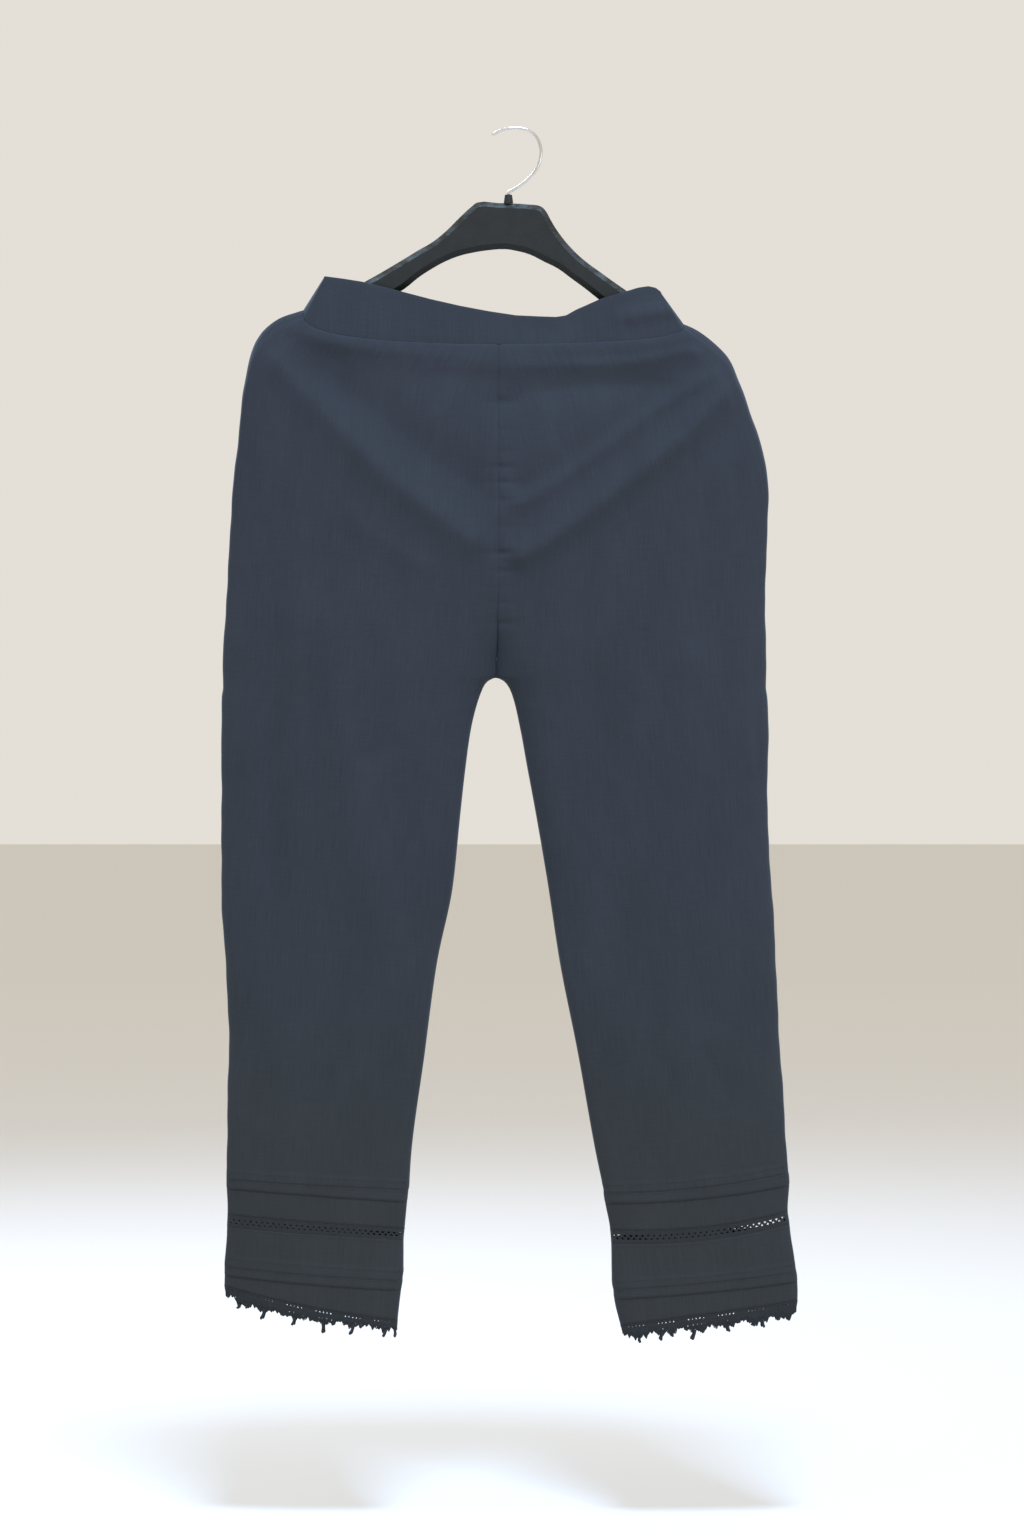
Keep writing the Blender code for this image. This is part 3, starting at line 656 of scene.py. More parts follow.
def cloth_points(side, face, across, rows):
    """Rows and columns of points of a panel, with folds and tucks."""
    at, lift = rows[:, :1], rows[:, 1:]
    across = across[None, :]
    points = base_surface(side, face, across, at)
    out = out_of_cloth(side, face, across, at)
    height = cloth_height(face, across, at, points)
    flatter = blend(TUCK_AT_SEAM, 1, ease(across, 0, TUCK_EASE) * ease(1 - across, 0, TUCK_EASE))
    lift = lift * flatter * edge_round(across) * edge_round(1 - across)
    points = points + out * (height + lift)[..., None]
    return with_seam_allowance(side, face, at, points)


def with_seam_allowance(side, face, at, points):
    """Turns both edges of a panel in by a few millimetres, as they are where they are sewn together."""
    sign = 1 if side == LEFT else -1
    legs = measures_at(at)[..., LEG_SHARE]
    inward = np.stack([-sign * legs, -face * (1 - legs), 0 * legs], axis=-1)
    inward /= np.linalg.norm(inward, axis=-1, keepdims=True)
    side_in = [points[:, :1] + np.array([sign * far, 0, 0]) for far in reversed(SEAM_TURN_INS)]
    centre_in = [points[:, -1:] + inward * far for far in SEAM_TURN_INS]
    return np.concatenate([*side_in, points, *centre_in], axis=1)


def declare(piece, nodes=()):
    """Hangs a piece on the root body and hides the solids that it stands for."""
    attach(piece, "root")
    if nodes:
        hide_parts(*nodes)


one_tuck = rows_down("above tucks", "tuck 2 stitch", LAYER, [("tuck 1 stitch", "tuck 1 fold")])
print("a tuck stands out by", round(float(one_tuck[:, 1].max()), 2), "mm at its fold")

# %% [markdown]
# The cotton is a plain weave of uneven threads, dyed navy and washed a little pale. Uneven threads show as
# fine streaks along the cloth and shorter ones across it. The pattern is a node group, since panels, bands
# and lace thread share it with other strengths, and it puts out a colour, a roughness and a height. Towards
# the hems the colour is multiplied by a greyer one, from the height alone: this is painted shade, standing
# for the hems getting less of the bluish main light.

# %% Materials

# How fine each pattern is across, down and through the cloth, for each metre
LONG_STREAKS, CROSS_STREAKS = (1100, 28, 1), (45, 1000, 1)
BROAD_WEAR, SINGLE_THREADS = (22, 9, 1), (2600, 2600, 1)
NOISE_ROUGHNESS = 0.55
LONG_SHARE, CROSS_SHARE = 0.65, 0.35
WEAR_SHARE, WORN_LEVEL = 0.4, 0.4
CLOTH_ROUGHNESS, ROUGHNESS_CHANGE = 0.78, 0.2
SHEEN_ROUGHNESS, SHEEN_TINT, CLOTH_SPECULAR = 0.5, (0.6, 0.78, 1.0, 1), 0.12

# Metres
WEAVE_DEPTH = 0.0004
# Heights between which the colour turns greyer towards the hems, and the tint multiplied in there: painted
# shade
HEM_SHADE_TOP, HEM_SHADE_FOOT = -0.72, -1.0
HEM_SHADE_TINT = (1.0, 0.95, 0.8)

# Where the mixing node takes two colours and gives one
COLOUR_SOCKETS, COLOUR_OUT = (6, 7), 2


def new_group(name, inputs, outputs):
    """A node group from its inputs' labels, kinds and values, and its outputs' labels and kinds."""
    group = bpy.data.node_groups.new(name, "ShaderNodeTree")
    for label, kind, value in inputs:
        socket = group.interface.new_socket(label, in_out="INPUT", socket_type=f"NodeSocket{kind}")
        if value is not None:
            socket.default_value = value
    for label, kind in outputs:
        group.interface.new_socket(label, in_out="OUTPUT", socket_type=f"NodeSocket{kind}")
    return group, group.nodes.new("NodeGroupInput"), group.nodes.new("NodeGroupOutput")


def add_node(tree, kind, settings=None, values=None, links=None):
    """Adds a node, sets its properties and socket values, and links its inputs from other sockets."""
    node = tree.nodes.new(f"ShaderNode{kind}")
    for key, value in (settings or {}).items():
        setattr(node, key, value)
    for key, value in (values or {}).items():
        node.inputs[key].default_value = value
    for key, socket in (links or {}).items():
        tree.links.new(socket, node.inputs[key])
    return node


def stretched_noise(tree, vector, scale, detail=3):
    """Noise that is finer one way than the other, as threads are."""
    mapping = add_node(tree, "Mapping", values={"Scale": scale}, links={"Vector": vector})
    return add_node(
        tree, "TexNoise", values={"Scale": 1, "Detail": detail, "Roughness": NOISE_ROUGHNESS},
        links={"Vector": mapping.outputs["Vector"]}).outputs["Fac"]


def math_node(tree, operation, *inputs):
    node = add_node(tree, "Math", {"operation": operation})
    for socket, value in zip(node.inputs, inputs):
        if isinstance(value, (int, float)):
            socket.default_value = value
        else:
            tree.links.new(value, socket)
    return node.outputs[0]


def map_range(tree, value, none_at, full_at):
    """0 at the first value, 1 at the second and even between them."""
    return add_node(
        tree, "MapRange", values={"From Min": none_at, "From Max": full_at},
        links={"Value": value}).outputs[0]


def weighted_sum(tree, first, first_share, second, second_share):
    return math_node(
        tree, "ADD", math_node(tree, "MULTIPLY", first, first_share),
        math_node(tree, "MULTIPLY", second, second_share))


def mixed_colour(tree, factor, first, second, how="MIX"):
    """Two colours mixed, each of them a socket or three plain numbers."""
    mix = add_node(
        tree, "Mix", {"data_type": "RGBA", "blend_type": how}, links={"Factor": factor})
    for place, colour in zip(COLOUR_SOCKETS, (first, second)):
        if isinstance(colour, tuple):
            mix.inputs[place].default_value = (*colour, 1)
        else:
            tree.links.new(colour, mix.inputs[place])
    return mix.outputs[COLOUR_OUT]


def give_look(tree, shader, colour, pattern, bump, depth):
    """Links a colour, and a pattern's roughness and height, to a shader."""
    relief = add_node(
        tree, "Bump", values={"Strength": bump, "Distance": depth},
        links={"Height": pattern.outputs["Height"]})
    tree.links.new(colour, shader.inputs["Base Color"])
    tree.links.new(pattern.outputs["Roughness"], shader.inputs["Roughness"])
    tree.links.new(relief.outputs["Normal"], shader.inputs["Normal"])


def slub_group():
    """Uneven threads of a plain weave."""
    group, taken, given = new_group(
        "slub_weave",
        [("Vector", "Vector", None), ("Colour", "Color", (0.04, 0.05, 0.07, 1)),
         ("Worn Colour", "Color", (0.06, 0.07, 0.09, 1)), ("Streaks", "Float", 0.5),
         ("Threads", "Float", 1.0)],
        [("Colour", "Color"), ("Roughness", "Float"), ("Height", "Float")],
    )
    vector = taken.outputs["Vector"]
    long_streaks = stretched_noise(group, vector, LONG_STREAKS)
    cross_streaks = stretched_noise(group, vector, CROSS_STREAKS)
    broad = stretched_noise(group, vector, BROAD_WEAR, 4)
    fine = stretched_noise(group, vector, SINGLE_THREADS, 1)
    both = weighted_sum(group, long_streaks, LONG_SHARE, cross_streaks, CROSS_SHARE)
    streaks_off, broad_off = (math_node(group, "SUBTRACT", value, 0.5) for value in (both, broad))
    uneven = weighted_sum(group, streaks_off, taken.outputs["Streaks"], broad_off, WEAR_SHARE)
    share = math_node(group, "ADD", uneven, WORN_LEVEL)
    clamp = add_node(group, "Clamp", links={"Value": share})
    colours = taken.outputs["Colour"], taken.outputs["Worn Colour"]
    group.links.new(mixed_colour(group, clamp.outputs[0], *colours), given.inputs["Colour"])
    rough = math_node(group, "ADD", CLOTH_ROUGHNESS, math_node(group, "MULTIPLY", both, ROUGHNESS_CHANGE))
    group.links.new(rough, given.inputs["Roughness"])
    fine_threads = math_node(group, "MULTIPLY", fine, taken.outputs["Threads"])
    group.links.new(math_node(group, "ADD", both, fine_threads), given.inputs["Height"])
    return group


SLUB = slub_group()


def painted_hem_shade(tree, colour):
    """The colour, turned a little greyer towards the hems: painted shade, as the hems get less of the bluish
    main light.
    """
    place = add_node(tree, "TexCoord")
    parts = add_node(tree, "SeparateXYZ", links={"Vector": place.outputs["Object"]})
    low = map_range(tree, parts.outputs["Z"], HEM_SHADE_TOP, HEM_SHADE_FOOT)
    return mixed_colour(tree, low, colour, HEM_SHADE_TINT, "MULTIPLY")


def cloth_material(name, colour, worn, streaks, threads, bump, sheen):
    material, tree, shader = new_material(name)
    place = add_node(tree, "UVMap", {"uv_map": CLOTH_MAP})
    weave = add_node(
        tree, "Group", {"node_tree": SLUB},
        {"Colour": (*colour, 1), "Worn Colour": (*worn, 1), "Streaks": streaks, "Threads": threads},
        {"Vector": place.outputs["UV"]})
    give_look(tree, shader, painted_hem_shade(tree, weave.outputs["Colour"]), weave, bump, WEAVE_DEPTH)
    shader.inputs["Sheen Weight"].default_value = sheen
    shader.inputs["Sheen Roughness"].default_value = SHEEN_ROUGHNESS
    shader.inputs["Specular IOR Level"].default_value = CLOTH_SPECULAR
    shader.inputs["Sheen Tint"].default_value = SHEEN_TINT
    return material


COTTON = cloth_material(
    "navy_cotton", colour=(0.0212, 0.0237, 0.0276), worn=(0.0455, 0.0504, 0.0590),
    streaks=1.0, threads=0.5, bump=0.5, sheen=0.1)
THREAD = cloth_material(
    "navy_thread", colour=(0.020, 0.0225, 0.026), worn=(0.041, 0.045, 0.052),
    streaks=0.6, threads=0.3, bump=0.3, sheen=0.1)
print("materials", [material.name for material in (COTTON, THREAD)])

# %% [markdown]
# Each leg has a front and a back panel, cut from the waist seam to the lace insertion. They are the largest
# pieces, so the fronts get a grid of about two and a half millimetres and the backs a coarser one.

# %% Panels
FRONT_STEP, BACK_STEP = 2.6, 4.2
FRONT_COLUMNS, BACK_COLUMNS = 84, 50
UPPER_TUCKS = (("tuck 1 stitch", "tuck 1 fold"), ("tuck 2 stitch", "tuck 2 fold"))
LOWER_TUCKS = (("tuck 3 stitch", "tuck 3 fold"), ("tuck 4 stitch", "tuck 4 fold"))
FACES = ((FRONT, "front"), (BACK, "back"))
LEG_HALVES = [(side, face, f"{face_name}_{side}") for face, face_name in FACES for side in (LEFT, RIGHT)]


def reversed_faces(side, face):
    return (side == LEFT) != (face == FRONT)


def sewn_cloth(name, side, face, columns, rows):
    """A piece of cotton that hangs from the seam at its top row."""
    rows[0, 0] += SEAM_GAP
    points = cloth_points(side, face, columns_across(columns, True), rows)
    return grid_sheet(name, points, reversed_faces(side, face), COTTON)


for side, face, tag in LEG_HALVES:
    step, columns = (FRONT_STEP, FRONT_COLUMNS) if face == FRONT else (BACK_STEP, BACK_COLUMNS)
    rows = rows_down("waist seam", "inset top", step, UPPER_TUCKS)
    panel = sewn_cloth(f"panel_{tag}", side, face, columns, rows)
    nodes = [f"{part}_{tag}" for part in ("hip", "thigh", "shin")]
    declare(panel, nodes)
    print(panel.name, len(panel.data.polygons), "faces")

# %% [markdown]
# The waistband is one strip for the front and one for the back, folded over elastic. It is laid as a grid
# that runs up the outside from the seam, over the top and down the inside.

# %% Waistband

# X and Z along the top edge, from left to right
BAND_TOP = (
    (-178.5, -138), (-161, -140.5), (-143, -143.5), (-125.5, -148), (-106, -153),
    (-80, -160), (-52, -166.5), (-26, -171.5), (0, -175.5), (22, -176.5),
    (37, -177), (46.5, -175.5), (56, -170), (65, -166), (78, -160),
    (91, -156), (104, -152), (113.5, -149), (123, -147.5), (130, -149),
    (135, -153),
)
BAND_TOP_DEPTH, BAND_TOP_FLAT = 12.5, 3
BAND_HALF, BAND_COLUMNS, BAND_STEPS = 0.75, 190, 12
BAND_FOOT_ROW, BAND_FOOT_TURN = 0.015, 0.45
BAND_SHEET, BAND_CLOSED = 0.7, 0.985
FOOT_TURN_EASE = (-0.05, 0.2)
CROWN_TURNS = (0.25, 0.5, 0.75)

# The gathers' height, the fold at the right end, and the hollow over the hanger's neck
BAND_GATHER = 0.35
END_FOLD, END_FOLD_AT, END_FOLD_WIDTH, END_FOLD_EASE = 4, 0.5, 0.16, (78, 100)
HOLLOW, HOLLOW_AT, HOLLOW_WIDTH = 0.8, 28, 30


def band_lift(share, top_x):
    """How far the outside of the band stands out, at a share of its height."""
    arch = math.sin(math.pi * share)
    gathers = BAND_GATHER * uneven_wave(top_x, *BAND_GATHERS) * (1 - share) * arch
    fold = END_FOLD * bell(share - END_FOLD_AT, END_FOLD_WIDTH) * ease(top_x, *END_FOLD_EASE)
    hollow = -HOLLOW * arch * bell(top_x - HOLLOW_AT, HOLLOW_WIDTH)
    foot_turn = BAND_FOOT_TURN * (1 - float(ease(share, *FOOT_TURN_EASE)))
    return BAND_HALF - foot_turn + gathers + fold + hollow


def band_points(face):
    """Rows up the outside of the band, over its top and down its inside."""
    across = columns_across(BAND_COLUMNS // 2, False)
    foot_left, foot_right = (base_surface(side, face, across, np.array(0.0)) for side in (LEFT, RIGHT))
    foot = np.concatenate([foot_left, foot_right[::-1][1:]])
    left, right = foot[0, 0], foot[-1, 0]
    along = (foot[:, 0] - left) / (right - left)
    turn = np.arccos(np.clip(1 - 2 * along, -1, 1))
    top_x = blend(BAND_TOP[0][0], BAND_TOP[-1][0], along)
    top_z = np.interp(top_x, *zip(*BAND_TOP))
    ends = edge_round(along * 2) * edge_round((1 - along) * 2)
    top_y = face * ((BAND_TOP_FLAT + (BAND_TOP_DEPTH - BAND_TOP_FLAT) * np.sin(turn)) * ends + SEAM_GAP / 2)
    top = np.stack([top_x, top_y, top_z], axis=-1)
    out = np.array([0, face, 0.0])
    rows = []
    steps_up = [0, BAND_FOOT_ROW, *np.linspace(0, 1, BAND_STEPS + 1)[1:]]
    for share in steps_up:
        lift = band_lift(share, top_x) * ends
        rows.append(blend(foot, top, share * BAND_CLOSED) + out * lift[:, None])
    for turn_share in CROWN_TURNS:
        angle = math.pi * turn_share
        crown = blend(foot, top, BAND_CLOSED) + np.array([0, 0, 1.0]) * BAND_HALF * math.sin(angle)
        rows.append(crown + out * (BAND_HALF * math.cos(angle) * ends)[:, None])
    for share in reversed(steps_up):
        rows.append(blend(foot, top, share * BAND_CLOSED) - out * (BAND_HALF * ends)[:, None])
    return np.array(rows[::-1])


for face, face_name in FACES:
    band = grid_sheet(f"band_{face_name}", band_points(face), face == FRONT, COTTON, BAND_SHEET)
    declare(band, [f"waistband_{face_name}"])
    print(band.name, len(band.data.polygons), "faces")

# %% [markdown]
# Under the insertion each leg has a hem band with two more narrow tucks. It could be cut and sewn as the
# panels are, so it is made by the same functions from the rows between the insertion and the hem.

# %% Hem bands
HEM_COLUMNS = 70
HEM_STEP = 2.6

for side, face, tag in LEG_HALVES:
    rows = rows_down("inset foot", "hem edge", HEM_STEP, LOWER_TUCKS)
    hem = sewn_cloth(f"hem_{tag}", side, face, HEM_COLUMNS, rows)
    declare(hem, [f"hem_band_{tag}"])
    print(hem.name, len(hem.data.polygons), "faces")

# %% [markdown]
# Lace is thread. A run of thread is a curve with a round section, and many runs make one curve object, which
# is then made a mesh. That is far less work than modelling each loop, and it stays easy to change.

# %% Thread
THREAD_ROUNDNESS = 1
JOIN_WITHIN = 0.00001


def mesh_of(name, curve):
    """A curve's mesh without doubled points, and the same mesh open for changes."""
    holder = bpy.data.objects.new(name, curve)
    scene.collection.objects.link(holder)
    mesh = bpy.data.meshes.new_from_object(holder.evaluated_get(bpy.context.evaluated_depsgraph_get()))
    bpy.data.objects.remove(holder)
    mesh.name = name
    mesh.materials.clear()
    body = bmesh.new()
    body.from_mesh(mesh)
    bmesh.ops.remove_doubles(body, verts=body.verts, dist=JOIN_WITHIN)
    bmesh.ops.recalc_face_normals(body, faces=body.faces)
    return mesh, body


def threads(name, runs, radius, material, roundness=THREAD_ROUNDNESS):
    """Many runs of thread as one mesh.

    A run is a list of points in millimetres, each X, Y, Z and, where the thread isn't even, its thickness.
    """
    curve = bpy.data.curves.new(name, "CURVE")
    curve.dimensions = "3D"
    curve.bevel_depth = radius * MM
    curve.bevel_resolution = roundness
    curve.use_fill_caps = True
    for run in runs:
        spline = curve.splines.new("POLY")
        spline.points.add(len(run) - 1)
        for point, place in zip(spline.points, run):
            point.co = (*(Vector(place[:3]) * MM), 1)
            point.radius = place[3] if len(place) > 3 else 1
    mesh, lace = mesh_of(name, curve)
    uv_layer = lace.loops.layers.uv.get(CLOTH_MAP) or lace.loops.layers.uv.new(CLOTH_MAP)
    for polygon in lace.faces:
        for loop in polygon.loops:
            loop[uv_layer].uv = (loop.vert.co.x + loop.vert.co.y, loop.vert.co.z)
    lace.to_mesh(mesh)
    lace.free()
    return link(name, mesh, [material])


def on_cloth(side, face, across, at, lift=0.0):
    """Points on the cloth for paired shares across and places down."""
    across, at = np.broadcast_arrays(np.asarray(across, float), np.asarray(at, float))
    points = base_surface(side, face, across, at)
    out = out_of_cloth(side, face, across, at)
    return points + out * (cloth_height(face, across, at, points) + lift)[..., None]


inset_line = on_cloth(LEFT, FRONT, [0, 0.5, 1], PLACE_OF["inset top"])
print("left insertion's top at its side, middle and inside:", inset_line.round(1).tolist())

# %% [markdown]
# The insertion is a narrow strip of lace, bought by the metre and sewn between the panel and the hem band.
# Its ground is a thin sheet with cells left out between the bars, so the openings are real and let light
# through. Corded borders and zigzag bars of thread lie on it. A sheet is used for the ground because it
# stays light, where every crossing thread would be a mesh of its own.

# %% Lace insertion
HEM_LIFT = 0.1
INSET_BARS = 31
FRONT_PHASE, BACK_PHASE = 0.25, 0.6
INSET_THREAD = 0.42
INSET_BORDER = (0.5, 1.5, 2.5)
INSET_COLUMNS, INSET_ROWS = 240, 20
INSET_HOLE_TOP, INSET_HOLE_FOOT = 0.33, 0.68
INSET_ENDS = 0.006
OPEN_BARS, CLOSED_BARS = 0.36, 0.58
OUTER_PULL, INNER_PULL = (0.28, 0.42), (0.74, 0.86)
INSET_CLOSED_ENDS, INSET_BAR_ENDS = 0.02, 0.01
INSET_RUN_POINTS = 70
LACE_SHEET = 0.6


def phase_of(face):
    return FRONT_PHASE if face == FRONT else BACK_PHASE


def zigzag(share, face):
    """Where the bars of the insertion run, 0 at the upper border and 1 at the lower one."""
    turned = (share * INSET_BARS + phase_of(face)) % 1
    return 1 - np.abs(1 - 2 * turned)


def inset_holes(across, down, side, face):
    """Which cells lie between the bars. They are pulled open at the ends where light shows through."""
    cell_across, cell_down = np.meshgrid((across[1:] + across[:-1]) / 2, (down[1:] + down[:-1]) / 2)
    height = (cell_down - INSET_HOLE_TOP) / (INSET_HOLE_FOOT - INSET_HOLE_TOP)
    from_bar = np.abs(height - zigzag(cell_across, face))
    inside = (cell_across > INSET_CLOSED_ENDS) & (cell_across < 1 - INSET_CLOSED_ENDS)
    outer_end = 1 - ease(cell_across, *OUTER_PULL) if side == RIGHT else 0
    pulled = np.maximum(outer_end, ease(cell_across, *INNER_PULL))
    bars = blend(CLOSED_BARS, OPEN_BARS, pulled)
    return (height > 0) & (height < 1) & (from_bar > bars) & inside


def inset_runs(side, face):
    """Corded borders of the insertion, and the crocheted bars between them."""
    top, foot = PLACE_OF["inset top"], PLACE_OF["inset foot"]
    across = np.linspace(INSET_ENDS, 1 - INSET_ENDS, INSET_RUN_POINTS)
    places = [top + far for far in INSET_BORDER] + [foot - far for far in INSET_BORDER]
    runs = [on_cloth(side, face, across, np.full(len(across), at), HEM_LIFT) for at in places]
    turns = (np.arange(2 * INSET_BARS + 1) / 2 - phase_of(face) + 0.5) / INSET_BARS
    turns = turns[(turns > INSET_BAR_ENDS) & (turns < 1 - INSET_BAR_ENDS)]
    level = blend(INSET_HOLE_TOP, INSET_HOLE_FOOT, zigzag(turns, face))
    runs.append(on_cloth(side, face, turns, blend(top, foot, level), HEM_LIFT))
    return runs


for side, face, tag in LEG_HALVES:
    across = columns_across(INSET_COLUMNS, True)
    down = np.linspace(0, 1, INSET_ROWS)
    at = blend(PLACE_OF["inset top"], PLACE_OF["inset foot"], down)
    points = on_cloth(side, face, across[None, :], at[:, None])
    holes = inset_holes(across, down, side, face)
    inset = grid_sheet(f"insertion_{tag}", points, reversed_faces(side, face), THREAD, LACE_SHEET, holes)
    declare(inset, [f"lace_inset_{tag}"])
    cords = threads(f"insertion_cord_{tag}", inset_runs(side, face), INSET_THREAD, THREAD)
    declare(cords)
    print(inset.name, int(holes.sum()), "cells left open")

# %% [markdown]
# The edging is crocheted: a row of eyelets, a band of close stitches and a scalloped foot with picots. Its
# ground is a thin sheet cut to the foot that the photo shows, with an opening for each eyelet. Chains of
# thread run along it and stitches fan out between them, as a crochet hook lays them. A picot is a short
# twisted drop, so it is a run of thread of changing thickness.

# %% Crochet edging
SCALLOPS = 6
EYELETS_EACH, EYELET_STEP, EYELET_START = 5, 0.125, 0.16
EYELET_DOWN, EYELET_WIDE, EYELET_TALL = 2.4, 0.52, 0.7
BACK_EYELETS_WIDER, BACK_EYELET_SHIFT = 2, 0.008
FOOT_TEETH = ((1.3, 31, 0), (0.8, 53, 1))
LOW_EYELETS = (0.22, 0.36, 0.52, 0.7)
LOW_EYELET_DOWN = 8.2
EDGING_COLUMNS, EDGING_ROWS = 300, 26
STITCH_PITCH = 1.5
EDGING_THREAD = 0.34
CURL, CURL_TURN = 0.006, 8
CHAIN_DOWN, FOOT_CHAIN, STITCH_FOOT = (0.5, 1.2, 4.1), 0.5, 0.4
CHAIN_ENDS, CHAIN_POINTS = 0.003, 220
STITCH_FROM, STITCH_TO, STITCH_LEAN = 0.006, 0.995, 0.004
PICOT_OVERLAP, PICOT_SWAY, PICOT_TURN, PICOT_ENDS = 2, 0.35, 5, 0.008

# Share of the hem's width from the side seam, and how far the edging hangs below the hem in millimetres
LEFT_FOOT = (
    (0, 8), (0.017, 11.3), (0.035, 6.2), (0.06, 11), (0.075, 14), (0.1, 12), (0.12, 14.5), (0.16, 10.5),
    (0.19, 13), (0.21, 14.5), (0.243, 13.3), (0.27, 10.5), (0.31, 11.5), (0.345, 14), (0.365, 11.5),
    (0.39, 14), (0.42, 12.5), (0.45, 12.8), (0.48, 10.2), (0.51, 13), (0.535, 11), (0.565, 13.5),
    (0.595, 11.3), (0.62, 12), (0.653, 7.5), (0.69, 10.4), (0.72, 12), (0.75, 9.5), (0.78, 10.5),
    (0.82, 6.8), (0.85, 10), (0.88, 9), (0.912, 12), (0.942, 9.6), (0.974, 7.4), (0.994, 11), (1, 9),
)
RIGHT_FOOT = (
    (0, 8.4), (0.03, 14), (0.045, 15.5), (0.08, 13), (0.102, 14.5), (0.137, 9.4), (0.175, 14), (0.2, 12.5),
    (0.225, 16), (0.243, 15.5), (0.27, 11), (0.305, 9.7), (0.34, 12), (0.362, 13.5), (0.39, 14.5),
    (0.42, 11.5), (0.458, 13), (0.486, 9.2), (0.515, 14), (0.531, 15.5), (0.56, 12.5), (0.59, 14),
    (0.605, 12.5), (0.655, 8.5), (0.7, 14.5), (0.734, 10.5), (0.763, 14), (0.785, 11), (0.814, 9),
    (0.847, 13.5), (0.87, 12), (0.893, 15.5), (0.925, 12), (0.977, 9), (1, 8),
)

# Picots: share across, how far the tip hangs below the hem, and how far the tip leans to the right
LEFT_PICOTS = (
    (0.075, 19.1, -1), (0.125, 16.5, 0.8), (0.215, 23, -2.4), (0.392, 21.6, -1.2), (0.564, 23, 1),
    (0.727, 20, -2.6), (0.918, 17.7, -2.2), (0.985, 16.7, 1.2),
)
RIGHT_PICOTS = (
    (0.045, 17.6, -1), (0.105, 16, 0.8), (0.19, 20.5, 2.2), (0.243, 17.8, -1), (0.385, 19.8, 2.2),
    (0.531, 17.2, 0), (0.583, 22.6, -2.6), (0.7, 17.4, 0.6), (0.763, 19.5, -1), (0.885, 19.2, 1.2),
)
PICOT_THICKNESS = (1.6, 1.25, 1.0, 0.95, 1.1, 1.45, 0.9)
PICOT_THREAD = 1.05


def foot_length(side, across):
    """How far the edging hangs at each share across."""
    shares, lengths = zip(*(LEFT_FOOT if side == LEFT else RIGHT_FOOT))
    across = np.asarray(across, float)
    teeth = sum(size * np.sin(across * 2 * math.pi * count + start) for size, count, start in FOOT_TEETH)
    return np.interp(across, shares, lengths) + teeth


def picot_runs(side, face, hem_width):
    """Solid twisted drops of thread that hang from the foot and curl at their tips."""
    runs = []
    down = np.linspace(0, 1, len(PICOT_THICKNESS))
    inward = 1 if side == LEFT else -1
    for share, tip, lean in LEFT_PICOTS if side == LEFT else RIGHT_PICOTS:
        start = float(foot_length(side, share)) - PICOT_OVERLAP
        aside = lean * (down**2 - 0.5) + PICOT_SWAY * np.sin(down * PICOT_TURN)
        across = np.clip(share + inward * aside / hem_width, PICOT_ENDS, 1 - PICOT_ENDS)
        end = tip - PICOT_THREAD
        path = on_cloth(side, face, across, PLACE_OF["hem edge"] + blend(start, end, down), 0)
        runs.append(np.column_stack([path, PICOT_THICKNESS]))
    return runs


def eyelet_centres(face):
    """Shares across of the eyelets in the upper row and in the lower one."""
    upper = [s + EYELET_START + EYELET_STEP * k for s in range(SCALLOPS) for k in range(EYELETS_EACH)]
    lower = [s + place for s in range(SCALLOPS) for place in LOW_EYELETS]
    centres = [np.array(upper) / SCALLOPS, np.array(lower) / SCALLOPS]
    if face == BACK:
        centres = [row - BACK_EYELET_SHIFT * np.sin(row * math.pi) for row in centres]
    return centres


def edging_holes(face, across, drop, hem_width):
    """Which cells of the edging fall in an eyelet, from how far across and how far down they lie."""
    cell_across = (across[1:] + across[:-1])[None, :] / 2
    cell_drop = (drop[1:, 1:] + drop[:-1, :-1]) / 2
    found = np.zeros(cell_drop.shape, bool)
    wider = BACK_EYELETS_WIDER if face == BACK else 1
    for centres, down in zip(eyelet_centres(face), (EYELET_DOWN, LOW_EYELET_DOWN)):
        for centre in centres:
            aside = (cell_across - centre) * hem_width / (EYELET_WIDE * wider)
            found |= aside**2 + ((cell_drop - down) / (EYELET_TALL * wider)) ** 2 < 1
    return found


def edging_runs(side, face, hem_width):
    """Chains of thread along the heading and the foot, and stitches that fan out between them."""
    hem = PLACE_OF["hem edge"]
    shares = np.linspace(CHAIN_ENDS, 1 - CHAIN_ENDS, CHAIN_POINTS)
    foot_line = foot_length(side, shares) - FOOT_CHAIN
    lines = [np.full(len(shares), down) for down in CHAIN_DOWN]
    lines += [foot_line, (CHAIN_DOWN[-1] + foot_line) / 2]
    runs = [on_cloth(side, face, shares, hem + line, LACE_SHEET / 2) for line in lines]
    for share in np.arange(STITCH_FROM, STITCH_TO, STITCH_PITCH / hem_width):
        lean = STITCH_LEAN * math.sin(share * SCALLOPS * 2 * math.pi)
        pair = np.clip([share, share + lean], CHAIN_ENDS, 1 - CHAIN_ENDS)
        foot = float(foot_length(side, pair[1])) - STITCH_FOOT
        runs.append(on_cloth(side, face, pair, [hem + CHAIN_DOWN[-1], hem + foot], LACE_SHEET / 2))
    return runs


